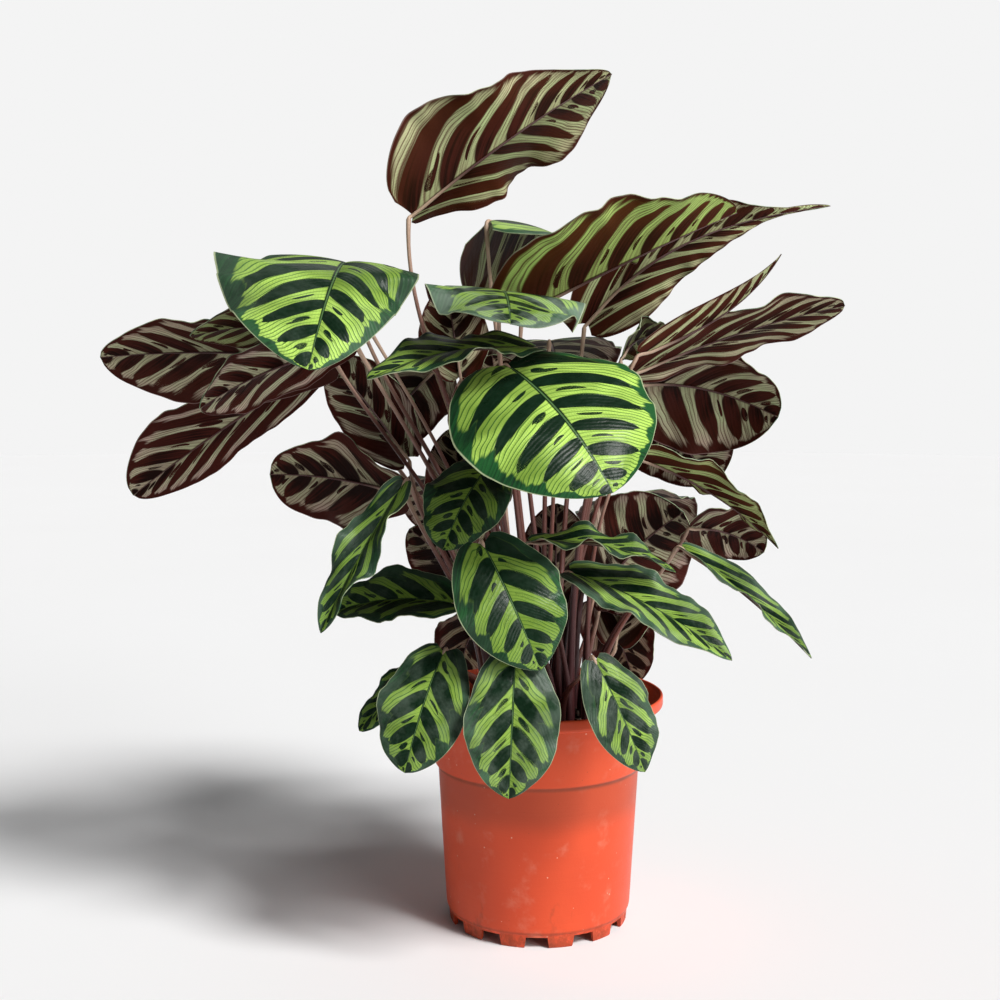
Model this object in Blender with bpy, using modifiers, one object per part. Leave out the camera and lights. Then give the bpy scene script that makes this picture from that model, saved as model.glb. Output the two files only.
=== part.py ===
"""Potted peacock plant: a plastic nursery pot, its soil, and one solid for each leaf with its stalk.

Metres, +Z up, and the front of the plant looks towards -Y. Everything is modelled around the pot's
axis with the pot's feet at z = 0, and is moved level at the end, so that the origin lies in the
middle of the whole plant's footprint.
"""

from dataclasses import dataclass
import math

import bmesh
import bpy
import numpy as np
from mathutils import Matrix, Vector

# Pot: points are (radius, height)
TURN_STEPS = 32
FLOOR_UNDERSIDE = 0.0078
FLOOR_TOP = 0.0098
POT_INSIDE = [(0, FLOOR_TOP), (0.0606, FLOOR_TOP), (0.0616, 0.0125), (0.0669, 0.105),
              (0.0694, 0.110), (0.0755, 0.1475), (0.0826, 0.1556)]
POT_LIP = [(0.0832, 0.157), (0.0845, 0.157), (0.085, 0.1562), (0.085, 0.1505), (0.0840, 0.149),
           (0.080, 0.148)]
POT_OUTSIDE = [(0.0772, 0.1475), (0.0712, 0.110), (0.0692, 0.108), (0.0686, 0.1055),
               (0.0633, 0.012), (0.0626, 0.0095), (0.0618, 0.0085), (0.0610, 0), (0.0585, 0),
               (0.0583, FLOOR_UNDERSIDE), (0, FLOOR_UNDERSIDE)]

# Feet and drainage holes of the pot
FOOT_COUNT = 12
FIRST_FOOT = math.radians(12.8)
NOTCH_HEIGHT = 0.0075
NOTCH_TOP_WIDTH = 0.014
NOTCH_BOTTOM_WIDTH = 0.017
NOTCH_RADIUS = 0.060
NOTCH_DEPTH = 0.008
DRAIN_COUNT = 8
DRAIN_RADIUS = 0.004
DRAIN_CIRCLE = 0.038

# Soil
CLEARANCE = 0.0003
SOIL_TOP = 0.139
SOIL_RINGS = (0, 0.018, 0.036, 0.052, 0.066)
SOIL_RELIEF = 0.0009

# Stalks: a thick one carries a broad blade, and each is given as (radius at the soil, at the blade)
STALK_SIDES = 6
STALK_RINGS = 5
THICK_STALK = (0.0026, 0.0013)
THIN_STALK = (0.0022, 0.0011)
BROAD_BLADE = 0.030
COLLAR = 0.005
ROOT_DEPTH = 0.014
STALK_RISE = 0.45
STALK_REACH = 0.30
STALK_UNDER = 0.5
KNEE = 0.004
KNEE_ROUNDING = 0.5
HOLE_SIDES = 6
HOLE_MARGIN = 0.0005

# Blades
BLADE_THICKNESS = 0.0008
RIB_HALF_WIDTH = 0.0015
RIB_DEPTH = 0.0018
RIB_TIP_DEPTH = 0.0003
COLUMNS = 7
MIDDLE = 3
QUARTER = 0.55
ROWS_BY_LENGTH = ((0.105, 8), (0.085, 7), (0, 6))
BASE_ROUNDING = 0.24
TIP_WIDTH = 0.12

# Colours
TERRACOTTA = (0.70, 0.13, 0.055)
EARTH = (0.045, 0.030, 0.020)
LEAF_GREEN = (0.16, 0.33, 0.06)
LEAF_PURPLE = (0.075, 0.012, 0.016)


@dataclass
class Leaf:
    """One blade and its stalk, in metres and degrees; pairs give the left half, then the right."""

    root: tuple
    base: tuple
    tip: tuple
    face: tuple
    half: float
    arch: tuple = (0.008, 0.008)
    sway: tuple = (0, 0)
    fold: tuple = (12, 12)
    curl: tuple = (-25, -25)
    wave: tuple = (0.003, 2.5, 0)
    skew: float = 0
    slant: float = 0
    belly: float = 0.44
    point: float = 0.62
    lobe: float = 0.16
    lean: tuple = None


LEAVES = [
    Leaf(root=(-0.013, 0.007), base=(-0.085, 0.01, 0.48), tip=(0.051, 0.04, 0.581),
         face=(-0.1, 0.9, 0.4), half=0.045, arch=(-0.006, -0.006), sway=(0.006, 0.006), fold=(38, 0),
         curl=(-10, -15), wave=(0.008, 2.2, -1.5), skew=-0.02, slant=1, belly=0.32, point=0.56,
         lobe=0.08, lean=(0.1, 0, 1)),
    Leaf(root=(-0.02, 0.003), base=(-0.127, 0, 0.446), tip=(-0.138, -0.126, 0.376),
         face=(0.15, -0.5, 0.8), half=0.061, arch=(0.024, 0.022), fold=(20, 5), curl=(-45, -25),
         wave=(0.008, 2.3, 1), skew=0.2, belly=0.42, point=0.66),
    Leaf(root=(-0.009, -0.027), base=(-0.022, -0.061, 0.379), tip=(0.04, -0.125, 0.304),
         face=(0.15, -0.75, 0.6), half=0.068, arch=(0.012, 0.012), fold=(8, 8), curl=(-30, -30),
         wave=(0.004, 2.5, 0)),
    Leaf(root=(-0.006, -0.006), base=(-0.026, -0.006, 0.428), tip=(-0.02, -0.112, 0.403),
         face=(0.12, -0.05, 1), half=0.05, arch=(0.007, 0.007), fold=(4, 4), curl=(-24, -24),
         wave=(0.007, 2.4, 0)),
    Leaf(root=(-0.005, 0.016), base=(-0.034, 0.026, 0.478), tip=(0.025, 0.135, 0.464), face=(0, 0, 1),
         half=0.061, arch=(0.01, 0.005), fold=(-50, -10), curl=(-14, -20), wave=(0.005, 2, 0),
         skew=-0.1, belly=0.34, lobe=0.3, lean=(-0.05, 0, 1)),
    Leaf(root=(0.005, 0.001), base=(-0.008, 0.016, 0.416), tip=(0.135, 0.022, 0.483),
         face=(-0.3, 0.8, 0.5), half=0.052, arch=(-0.012, -0.012), sway=(0.01, 0.01), fold=(70, 0),
         curl=(-20, -20), wave=(0.005, 2.5, 0), slant=0.7, belly=0.38, point=0.5, lobe=0.3,
         lean=(0.1, 0.1, 1)),
    Leaf(root=(0.013, -0.003), base=(0.037, 0.078, 0.41), tip=(0.215, 0.092, 0.496),
         face=(-0.3, 0.9, 0.3), half=0.034, arch=(-0.004, -0.004), sway=(0.03, 0.018), fold=(5, 5),
         curl=(-15, -16), wave=(0.004, 2.4, 0), skew=0.25, slant=-0.6, belly=0.2, point=2.6,
         lean=(0.1, 0.1, 1)),
    Leaf(root=(0.021, -0.014), base=(0.063, -0.057, 0.386), tip=(0.151, -0.052, 0.449),
         face=(-0.5, 0.5, 0.8), half=0.013, arch=(-0.004, -0.01), sway=(-0.006, -0.008),
         fold=(50, 46), curl=(24, 18), wave=(0.001, 2, 0), belly=0.35, point=1.2),
    Leaf(root=(0.022, -0.005), base=(0.062, 0, 0.373), tip=(0.208, 0.014, 0.42),
         face=(-0.2, 0.7, 0.7), half=0.023, arch=(0.006, 0.006), fold=(10, 10), curl=(-20, -20),
         wave=(0.005, 3, 0), belly=0.54, point=0.48),
    Leaf(root=(0.022, 0.005), base=(0.066, 0.03, 0.366), tip=(0.172, 0.054, 0.343),
         face=(0.1, 0.8, 0.6), half=0.046, arch=(0.014, 0.014), fold=(5, 5), curl=(-30, -25),
         wave=(0.005, 2.4, 0), skew=-0.18, belly=0.54, point=0.5),
    Leaf(root=(0.026, 0.03), base=(0.074, 0.072, 0.352), tip=(0.134, 0.104, 0.292),
         face=(0.3, 0.8, 0.4), half=0.042, arch=(0.006, 0.006), belly=0.5),
    Leaf(root=(0.032, -0.016), base=(0.061, -0.022, 0.32), tip=(0.159, -0.02, 0.258),
         face=(0.3, 0.4, 0.8), half=0.02, arch=(0.008, 0.008), fold=(35, 35), curl=(-20, -20),
         wave=(0.004, 3, 0), belly=0.38, point=1),
    Leaf(root=(0.031, 0.018), base=(0.046, 0.036, 0.222), tip=(0.104, 0.043, 0.276),
         face=(-0.3, 0.9, 0.3), half=0.05, belly=0.5),
    Leaf(root=(0.01, -0.03), base=(-0.007, -0.07, 0.268), tip=(0.082, -0.09, 0.252),
         face=(0, -0.3, 1), half=0.015, fold=(30, 30), wave=(0.005, 2.8, 0), point=1),
    Leaf(root=(0.039, -0.007), base=(0.095, -0.02, 0.258), tip=(0.178, -0.04, 0.188),
         face=(0.3, -0.6, 0.6), half=0.012, arch=(0.006, 0.004), fold=(50, 50), point=0.9),
    Leaf(root=(0.02, -0.03), base=(0.018, -0.062, 0.248), tip=(0.114, -0.11, 0.201),
         face=(0.1, -0.6, 0.8), half=0.022, arch=(0.008, 0.008), fold=(25, 25), wave=(0.004, 2.5, 0),
         point=0.8),
    Leaf(root=(-0.008, -0.036), base=(-0.037, -0.086, 0.269), tip=(-0.002, -0.115, 0.196),
         face=(0.1, -0.9, 0.4), half=0.034, arch=(0.008, 0.006), wave=(0.003, 2.5, 0), belly=0.46,
         point=0.75),
    Leaf(root=(-0.002, -0.044), base=(-0.017, -0.105, 0.203), tip=(-0.021, -0.125, 0.12),
         face=(0, -0.95, 0.3), half=0.029, arch=(0.008, 0.006), belly=0.5, point=0.72),
    Leaf(root=(-0.024, -0.036), base=(-0.061, -0.088, 0.202), tip=(-0.084, -0.115, 0.133),
         face=(-0.2, -0.9, 0.3), half=0.028, arch=(0.008, 0.006), belly=0.5, point=0.65),
    Leaf(root=(0.014, -0.042), base=(0.032, -0.098, 0.198), tip=(0.062, -0.11, 0.132),
         face=(0.2, -0.9, 0.3), half=0.021, arch=(0.006, 0.004), belly=0.48, point=0.8),
    Leaf(root=(-0.032, -0.025), base=(-0.087, -0.061, 0.305), tip=(-0.136, -0.1, 0.216),
         face=(-0.3, -0.8, 0.4), half=0.016, arch=(0.004, 0.004), fold=(40, 30),
         wave=(0.007, 2.2, 1.5), belly=0.45, point=0.8),
    Leaf(root=(-0.036, -0.007), base=(-0.092, -0.01, 0.294), tip=(-0.182, 0, 0.306),
         face=(0.2, 0.8, 0.5), half=0.036, arch=(0.006, 0.006), wave=(0.007, 1.6, 0.6), skew=0.12,
         belly=0.58, point=0.5),
    Leaf(root=(-0.036, -0.017), base=(-0.056, -0.028, 0.222), tip=(-0.137, -0.018, 0.215),
         face=(0, -0.2, 1), half=0.024, arch=(0.006, 0.006), fold=(0, 55)),
    Leaf(root=(-0.03, 0.008), base=(-0.144, 0.024, 0.384), tip=(-0.299, 0.014, 0.385),
         face=(0, 0.7, 0.7), half=0.042, arch=(0.006, 0.006), skew=0.22, belly=0.5, point=0.55),
    Leaf(root=(-0.03, -0.013), base=(-0.125, -0.022, 0.393), tip=(-0.216, -0.06, 0.352),
         face=(0.1, 0.6, 0.8), half=0.034, arch=(0.006, 0.006), belly=0.5, point=0.6),
    Leaf(root=(-0.036, 0.024), base=(-0.156, 0.084, 0.38), tip=(-0.296, 0.08, 0.285),
         face=(-0.3, 0.8, 0.5), half=0.033, arch=(0.006, 0.006), wave=(0.005, 2, 2), skew=-0.2,
         belly=0.6, point=0.5),
    Leaf(root=(-0.033, 0.015), base=(-0.092, 0.042, 0.315), tip=(-0.148, 0.05, 0.385),
         face=(0.2, 0.9, 0.3), half=0.03, arch=(0.004, 0.004)),
    Leaf(root=(-0.024, -0.005), base=(-0.116, -0.014, 0.404), tip=(-0.226, -0.038, 0.398),
         face=(0, 0.5, 0.85), half=0.026, arch=(0.006, 0.006), belly=0.5, point=0.6),
    Leaf(root=(-0.022, -0.016), base=(-0.034, -0.04, 0.314), tip=(-0.062, -0.076, 0.264),
         face=(-0.2, -0.8, 0.5), half=0.028, arch=(0.006, 0.006)),
    Leaf(root=(0.031, -0.001), base=(0.042, 0.002, 0.233), tip=(0.067, 0.017, 0.208),
         face=(0.3, 0.8, 0.2), half=0.021, arch=(0.004, 0.004)),
    Leaf(root=(0.015, 0.009), base=(0.06, 0.054, 0.385), tip=(0.095, 0.074, 0.401),
         face=(0, 0.6, 0.8), half=0.023),
    Leaf(root=(-0.012, 0.015), base=(-0.054, 0.038, 0.372), tip=(-0.064, 0.056, 0.436),
         face=(-0.1, 0.95, 0.2), half=0.025, arch=(0.002, 0.004)),
    Leaf(root=(-0.022, 0.02), base=(-0.074, 0.066, 0.376), tip=(-0.12, 0.104, 0.316),
         face=(-0.3, 0.8, 0.4), half=0.036),
    Leaf(root=(0.003, -0.014), base=(-0.004, -0.032, 0.39), tip=(-0.108, -0.08, 0.37),
         face=(0, -0.3, 1), half=0.028, fold=(20, 20), wave=(0.005, 2, 0), lean=(-0.3, -0.2, 1)),
    Leaf(root=(-0.039, 0), base=(-0.06, -0.03, 0.185), tip=(-0.118, -0.05, 0.142),
         face=(-0.3, -0.6, 0.6), half=0.016),
    Leaf(root=(-0.032, 0.032), base=(-0.056, 0.05, 0.222), tip=(-0.092, 0.062, 0.262),
         face=(0.2, 0.9, 0.3), half=0.026),
    Leaf(root=(0.038, 0.004), base=(0.104, 0.01, 0.268), tip=(0.158, 0.024, 0.25),
         face=(0.2, 0.8, 0.5), half=0.026, belly=0.5),
    Leaf(root=(0.004, 0.024), base=(0.01, 0.09, 0.398), tip=(0.022, 0.194, 0.356), face=(0, 0.4, 0.9),
         half=0.052, arch=(0.012, 0.012)),
    Leaf(root=(-0.014, 0.032), base=(-0.042, 0.118, 0.29), tip=(-0.086, 0.204, 0.244),
         face=(0, 0.5, 0.8), half=0.044, arch=(0.012, 0.012)),
    Leaf(root=(0.017, 0.029), base=(0.058, 0.084, 0.282), tip=(0.106, 0.176, 0.228),
         face=(0, 0.5, 0.8), half=0.046, arch=(0.012, 0.012)),
    Leaf(root=(-0.002, 0.042), base=(-0.005, 0.095, 0.215), tip=(-0.005, 0.15, 0.15),
         face=(0, 0.7, 0.7), half=0.034),
    Leaf(root=(-0.026, 0.041), base=(-0.038, 0.08, 0.2), tip=(-0.06, 0.122, 0.135),
         face=(-0.2, 0.8, 0.5), half=0.028),
    Leaf(root=(0.027, 0.038), base=(0.046, 0.08, 0.205), tip=(0.078, 0.12, 0.135),
         face=(0.2, 0.8, 0.5), half=0.028),
    Leaf(root=(-0.014, 0.024), base=(-0.024, 0.066, 0.306), tip=(-0.032, 0.08, 0.388),
         face=(0, 0.95, 0.2), half=0.037, arch=(0.002, 0.004)),
    Leaf(root=(0.01, 0.036), base=(0.014, 0.066, 0.204), tip=(0.016, 0.09, 0.278),
         face=(0, 0.95, 0.2), half=0.028, arch=(0.002, 0.004)),
    Leaf(root=(0.035, 0.028), base=(0.058, 0.056, 0.18), tip=(0.074, 0.084, 0.256),
         face=(0.2, 0.95, 0.2), half=0.026, arch=(0.002, 0.004)),
    Leaf(root=(-0.021, 0.035), base=(-0.046, 0.072, 0.246), tip=(-0.062, 0.094, 0.334),
         face=(-0.1, 0.95, 0.2), half=0.029, arch=(0.002, 0.004)),
    Leaf(root=(0.012, 0.024), base=(0.023, 0.06, 0.292), tip=(0.034, 0.084, 0.366),
         face=(0.1, 0.95, 0.2), half=0.029, arch=(0.002, 0.004)),
]


def unit(vectors):
    return vectors / np.linalg.norm(vectors, axis=-1, keepdims=True)


def bezier(points, t):
    """Places and directions on a cubic curve with four control points."""
    p0, p1, p2, p3 = points
    t = np.asarray(t, float)[:, None]
    s = 1 - t
    place = s**3*p0 + 3*s*s*t*p1 + 3*s*t*t*p2 + t**3*p3
    slope = 3*s*s*(p1 - p0) + 6*s*t*(p2 - p1) + 3*t*t*(p3 - p2)
    return place, unit(slope)


def midrib(leaf):
    """Control points of the midrib: arch lifts it towards the upper side, sway bends it sideways."""
    base, tip = np.array(leaf.base, float), np.array(leaf.tip, float)
    along = unit(tip - base)
    face = unit(np.array(leaf.face, float))
    up = unit(face - (face @ along)*along)
    side = np.cross(along, up)
    inner = []
    for k in (0, 1):
        straight = base + (tip - base)*(k + 1)/3
        inner.append(straight + (up*leaf.arch[k] + side*leaf.sway[k])*4/3)
    return base, inner[0], inner[1], tip


def blade_frames(leaf, u):
    """Midrib points with the directions along it, out of the upper side, and across the blade."""
    centre, along = bezier(midrib(leaf), u)
    face = unit(np.array(leaf.face, float))
    up = unit(face - (along @ face)[:, None]*along)
    return centre, along, up, np.cross(along, up)


def half_width(leaf, u):
    """Half width at u, from 0 at the stalk to 1 at the tip: two curves that meet at the belly."""
    to_base = np.clip(1 - u/leaf.belly, 0, 1)
    to_tip = 1 - np.clip((u - leaf.belly)/(1 - leaf.belly), 0, 1)**2
    shape = np.sqrt(1 - to_base**2)*np.maximum(to_tip**leaf.point, TIP_WIDTH*np.sqrt(to_tip))
    shoulder = (1 - u)**8
    return leaf.half*(shape*(1 - 0.3*shoulder) + BASE_ROUNDING*shoulder)


def blade_surface(leaf, u, v):
    """Points and normals of the upper side at u along and v across, where v has a row for each u.

    Each half leaves the midrib at its fold angle and bends evenly to its edge by its curl. The
    edges are waved, and near the stalk they reach back past it as two lobes.
    """
    centre, along, up, across = (a[:, None] for a in blade_frames(leaf, u))
    u = u[:, None]
    side = np.where(v < 0, -1, 1)
    half = np.where(v < 0, 0, 1)
    out = abs(v)
    reach = half_width(leaf, u)*(1 + side*(leaf.skew + leaf.slant*(0.5 - u)))
    fold = np.radians(np.array(leaf.fold, float))[half]
    curl = np.radians(np.array(leaf.curl, float))[half]
    turn = fold + curl*out
    sideways = side*reach*(np.sin(turn) - np.sin(fold))/curl
    upwards = reach*(np.cos(fold) - np.cos(turn))/curl
    height, count, phase = leaf.wave
    swell = np.sin(np.pi*np.clip(0.92*u + 0.06, 0, 1))
    ripple = height*out**2*np.sin(2*np.pi*count*u + phase + np.where(v < 0, 2.2, 0))*swell
    lobe = leaf.lobe*leaf.half*out**1.3*(1 - u)**5
    tilt = np.where(v == 0, math.radians(leaf.fold[1] - leaf.fold[0])/2, side*turn)
    normal = np.cos(tilt)[..., None]*up - np.sin(tilt)[..., None]*across
    place = centre + sideways[..., None]*across + upwards[..., None]*up
    return place + ripple[..., None]*normal - lobe[..., None]*along, normal


def blade_sections(leaf):
    """Rows of points on the upper and the under side, and the two points at the tip."""
    length = np.linalg.norm(np.array(leaf.tip, float) - np.array(leaf.base, float))
    rows = next(count for least, count in ROWS_BY_LENGTH if length > least)
    step = np.arange(rows)/rows
    u = step - 0.04*np.sin(2*np.pi*step)
    rib = np.minimum(RIB_HALF_WIDTH/half_width(leaf, u), 0.3)
    one = np.ones(rows)
    v = np.stack([-one, -QUARTER*one, -rib, 0*one, rib, QUARTER*one, one], axis=1)
    place, normal = blade_surface(leaf, u, v)
    upper = place + normal*BLADE_THICKNESS/2
    under = place - normal*BLADE_THICKNESS/2
    rib_depth = RIB_DEPTH*(1 - u) + RIB_TIP_DEPTH
    under[:, MIDDLE] -= normal[:, MIDDLE]*rib_depth[:, None]
    tip, tip_normal = blade_surface(leaf, np.ones(1), np.zeros((1, 1)))
    half = tip_normal[0, 0]*BLADE_THICKNESS/2
    return upper, under, tip[0, 0] + half, tip[0, 0] - half


def stalk_radii(leaf):
    return THICK_STALK if leaf.half > BROAD_BLADE else THIN_STALK


def stalk_sections(leaf):
    """Rings of the stalk from the blade down to the collar, then the ring at its foot.

    The stalk comes up from the blade's under side, clear of the lobes, and turns into the midrib
    over a short knee behind the blade's base.
    """
    start = np.array([*leaf.root, SOIL_TOP + COLLAR])
    base = np.array(leaf.base, float)
    _, along, up, across = (a[0] for a in blade_frames(leaf, np.zeros(1)))
    away = along*(0.35, 0.35, 0) + (0, 0, 0.6)
    lean = unit(away if leaf.lean is None else np.array(leaf.lean, float))
    lean = unit(lean + up*max(0, STALK_UNDER - lean @ up))
    knee = base - KNEE*(along + up*(1 - lean @ along))
    length = np.linalg.norm(knee - start)
    handle = KNEE_ROUNDING*np.linalg.norm(base - knee)
    curve = (start, start + (0, 0, length*STALK_RISE), knee - lean*length*STALK_REACH, knee)
    bend = (knee, knee + lean*handle, base - along*handle, base)
    down = np.arange(STALK_RINGS)/(STALK_RINGS - 1)
    centres, slopes = (np.vstack(pair) for pair in zip(bezier(bend, [0.5]), bezier(curve, 1 - down)))
    low, high = stalk_radii(leaf)
    radii = high + (low - high)*np.append(0, down)**2
    turns = np.radians(150 - 60*np.arange(STALK_SIDES))[:, None]
    rings = []
    for centre, slope, radius in zip(centres, slopes, radii):
        across = unit(across - (across @ slope)*slope)
        spoke = np.cos(turns)*across + np.sin(turns)*np.cross(across, slope)
        rings.append(centre + radius*spoke)
    rings.append(rings[-1] - (0, 0, COLLAR + ROOT_DEPTH))
    return rings


def add_points(bm, points):
    return [bm.verts.new(point) for point in points]


def add_blade(bm, leaf):
    """Loft the blade's sections, with each quad split alike on both sides; return its six-sided root."""
    upper_rows, under_rows, upper_tip, under_tip = blade_sections(leaf)
    upper = [add_points(bm, row) for row in upper_rows]
    under = [add_points(bm, row) for row in under_rows]
    tips = add_points(bm, (upper_tip, under_tip))
    edges = (0, COLUMNS - 1)
    for slot, rows in enumerate((upper, under)):
        made = []
        for near, far in zip(rows, rows[1:]):
            for j in range(MIDDLE):
                for edge, rib in ((j, j + 1), (COLUMNS - 1 - j, COLUMNS - 2 - j)):
                    made.append(bm.faces.new((near[rib], near[edge], far[edge])))
                    made.append(bm.faces.new((near[rib], far[edge], far[rib])))
        for j in range(COLUMNS - 1):
            made.append(bm.faces.new((rows[-1][j], rows[-1][j + 1], tips[slot])))
        for face in made:
            face.material_index = slot
    for j in edges:
        for row in range(len(upper) - 1):
            bm.faces.new((upper[row][j], under[row][j], under[row + 1][j], upper[row + 1][j]))
        bm.faces.new((upper[-1][j], under[-1][j], tips[1], tips[0]))
    for j in (0, 1, COLUMNS - 3, COLUMNS - 2):
        bm.faces.new((upper[0][j], upper[0][j + 1], under[0][j + 1], under[0][j]))
    middle = slice(MIDDLE - 1, MIDDLE + 2)
    return upper[0][middle] + under[0][middle][::-1]


def add_stalk(bm, leaf, ring):
    """Carry the blade's root down into the soil as a six-sided stalk."""
    for points in stalk_sections(leaf):
        lower = add_points(bm, points)
        for k in range(STALK_SIDES):
            after = (k + 1) % STALK_SIDES
            bm.faces.new((ring[k], ring[after], lower[after], lower[k])).material_index = 1
        ring = lower
    bm.faces.new(ring).material_index = 1


def plain_material(name, colour, roughness):
    material = bpy.data.materials.new(name)
    material.use_nodes = True
    shader = material.node_tree.nodes["Principled BSDF"]
    shader.inputs["Base Color"].default_value = (*colour, 1)
    shader.inputs["Roughness"].default_value = roughness
    shader.inputs["Metallic"].default_value = 0
    material.diffuse_color = (*colour, 1)
    return material


def new_collection(name):
    collection = bpy.data.collections.new(name)
    bpy.context.scene.collection.children.link(collection)
    return collection


def add_object(name, mesh, collection):
    obj = bpy.data.objects.new(name, mesh)
    collection.objects.link(obj)
    return obj


def mesh_from(bm, name):
    mesh = bpy.data.meshes.new(name)
    bm.to_mesh(mesh)
    bm.free()
    return mesh


def turned(name, profile, collection):
    """A body turned about Z from (radius, height) points that run down its outer side."""
    mesh = bpy.data.meshes.new(name)
    edges = [(k, k + 1) for k in range(len(profile) - 1)]
    mesh.from_pydata([(radius, 0, height) for radius, height in profile], edges, [])
    obj = add_object(name, mesh, collection)
    screw = obj.modifiers.new("turn", 'SCREW')
    screw.steps = screw.render_steps = TURN_STEPS
    screw.use_merge_vertices = True
    screw.merge_threshold = 0.0001
    screw.use_smooth_shade = True
    return obj


def add_cutter(name, bm, collection):
    """A guide that only cuts, hidden from the render and drawn as wires."""
    obj = add_object(name, mesh_from(bm, name), collection)
    obj.hide_render = True
    obj.display_type = 'WIRE'
    return obj


def cut(obj, cutter):
    boolean = obj.modifiers.new(cutter.name, 'BOOLEAN')
    boolean.operation = 'DIFFERENCE'
    boolean.solver = 'EXACT'
    boolean.object = cutter


def around_axis(angle, radius, height):
    """A place at an angle from the pot's front, counted towards +X."""
    return Vector((radius*math.sin(angle), -radius*math.cos(angle), height))


def notch_cutters(cutters):
    """Wedges between the feet, wider at the ground."""
    bm = bmesh.new()
    for k in range(FOOT_COUNT):
        angle = FIRST_FOOT + (k + 0.5)*2*math.pi/FOOT_COUNT
        wedge = bmesh.ops.create_cube(bm, size=1)["verts"]
        for vert in wedge:
            width = NOTCH_TOP_WIDTH if vert.co.z > 0 else NOTCH_BOTTOM_WIDTH
            vert.co = (vert.co.x*width, vert.co.y*NOTCH_DEPTH, vert.co.z*2*NOTCH_HEIGHT)
        place = Matrix.Translation(around_axis(angle, NOTCH_RADIUS, 0))
        bmesh.ops.transform(bm, matrix=place @ Matrix.Rotation(angle, 4, 'Z'), verts=wedge)
    return add_cutter("notches", bm, cutters)


def drain_cutters(cutters):
    """Round holes through the pot's floor."""
    bm = bmesh.new()
    for k in range(DRAIN_COUNT):
        angle = k*2*math.pi/DRAIN_COUNT
        place = around_axis(angle, DRAIN_CIRCLE, (FLOOR_UNDERSIDE + FLOOR_TOP)/2)
        bmesh.ops.create_cone(bm, cap_ends=True, segments=8, radius1=DRAIN_RADIUS,
                              radius2=DRAIN_RADIUS, depth=0.006,
                              matrix=Matrix.Translation(place))
    return add_cutter("drains", bm, cutters)


def stalk_hole_cutters(cutters):
    """A hole in the soil for each stalk, a little wider and deeper than the stalk's foot."""
    bm = bmesh.new()
    for leaf in LEAVES:
        radius = stalk_radii(leaf)[0] + HOLE_MARGIN
        depth = 2*(ROOT_DEPTH + CLEARANCE)
        bmesh.ops.create_cone(bm, cap_ends=True, segments=HOLE_SIDES, radius1=radius,
                              radius2=radius, depth=depth,
                              matrix=Matrix.Translation((*leaf.root, SOIL_TOP)))
    return add_cutter("stalk_holes", bm, cutters)


def build_pot(parts, cutters):
    pot = turned("pot", POT_INSIDE + POT_LIP + POT_OUTSIDE, parts)
    pot.data.materials.append(plain_material("pot", TERRACOTTA, 0.55))
    cut(pot, notch_cutters(cutters))
    cut(pot, drain_cutters(cutters))
    return pot


def inside_radius(height):
    """Radius of the pot's inner wall."""
    radii, heights = zip(*POT_INSIDE[1:])
    return float(np.interp(height, heights, radii))


def soil_relief(x, y):
    """Low humps of the soil's surface, flat where it meets the pot."""
    humps = math.sin(190*x + 1)*math.cos(170*y) + 0.5*math.sin(420*x + 300*y)
    return SOIL_RELIEF*humps*(1 - (math.hypot(x, y)/inside_radius(SOIL_TOP))**4)


def build_soil(parts, cutters):
    """Soil that fills the pot, with a humped top and a hole for each stalk."""
    top = [(radius, SOIL_TOP) for radius in SOIL_RINGS]
    wall_heights = (SOIL_TOP, 0.110, 0.105, 0.0125, FLOOR_TOP + CLEARANCE)
    wall = [(inside_radius(height) - CLEARANCE, height) for height in wall_heights]
    shape = turned("soil_shape", top + wall + [(0, wall_heights[-1])], parts)
    evaluated = shape.evaluated_get(bpy.context.evaluated_depsgraph_get())
    mesh = bpy.data.meshes.new_from_object(evaluated)
    bpy.data.objects.remove(shape)
    mesh.name = "soil"
    for vert in mesh.vertices:
        if vert.co.z > SOIL_TOP - CLEARANCE:
            vert.co.z += soil_relief(vert.co.x, vert.co.y)
    soil = add_object("soil", mesh, parts)
    mesh.materials.clear()
    mesh.materials.append(plain_material("soil", EARTH, 0.95))
    cut(soil, stalk_hole_cutters(cutters))
    return soil


def build_leaf(name, leaf, parts):
    bm = bmesh.new()
    add_stalk(bm, leaf, add_blade(bm, leaf))
    bmesh.ops.recalc_face_normals(bm, faces=bm.faces)
    mesh = mesh_from(bm, name)
    mesh.materials.append(plain_material(name + "_upper", LEAF_GREEN, 0.35))
    mesh.materials.append(plain_material(name + "_under", LEAF_PURPLE, 0.45))
    mesh.shade_smooth()
    mesh.set_sharp_from_angle(angle=math.radians(50))
    return add_object(name, mesh, parts)


def centre_footprint(objects):
    """Move every piece level, so that the box round them all is centred on the origin."""
    depsgraph = bpy.context.evaluated_depsgraph_get()
    corners = []
    for obj in objects:
        box = obj.evaluated_get(depsgraph).bound_box
        corners += [obj.matrix_world @ Vector(corner) for corner in box]
    xs, ys, _ = zip(*corners)
    middle = Vector((min(xs) + max(xs), min(ys) + max(ys), 0))/2
    for obj in bpy.data.objects:
        obj.location -= middle


def main():
    for obj in list(bpy.data.objects):
        bpy.data.objects.remove(obj)
    parts = new_collection("potted_peacock_plant")
    cutters = new_collection("cutters")
    objects = [build_pot(parts, cutters), build_soil(parts, cutters)]
    for number, leaf in enumerate(LEAVES, start=1):
        objects.append(build_leaf(f"leaf_{number:02d}", leaf, parts))
    bpy.context.view_layer.update()
    centre_footprint(objects)


main()
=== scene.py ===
"""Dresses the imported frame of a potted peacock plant: leaves, stalks, soil, nursery pot and studio.

Metres, +Z up, and the front of the plant looks towards -Y. The leaf table gives every place from
the pot's axis, with the pot's feet at z = 0, and each piece is moved to the axis as it is made.
"""

from dataclasses import dataclass
import math
from types import SimpleNamespace

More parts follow.
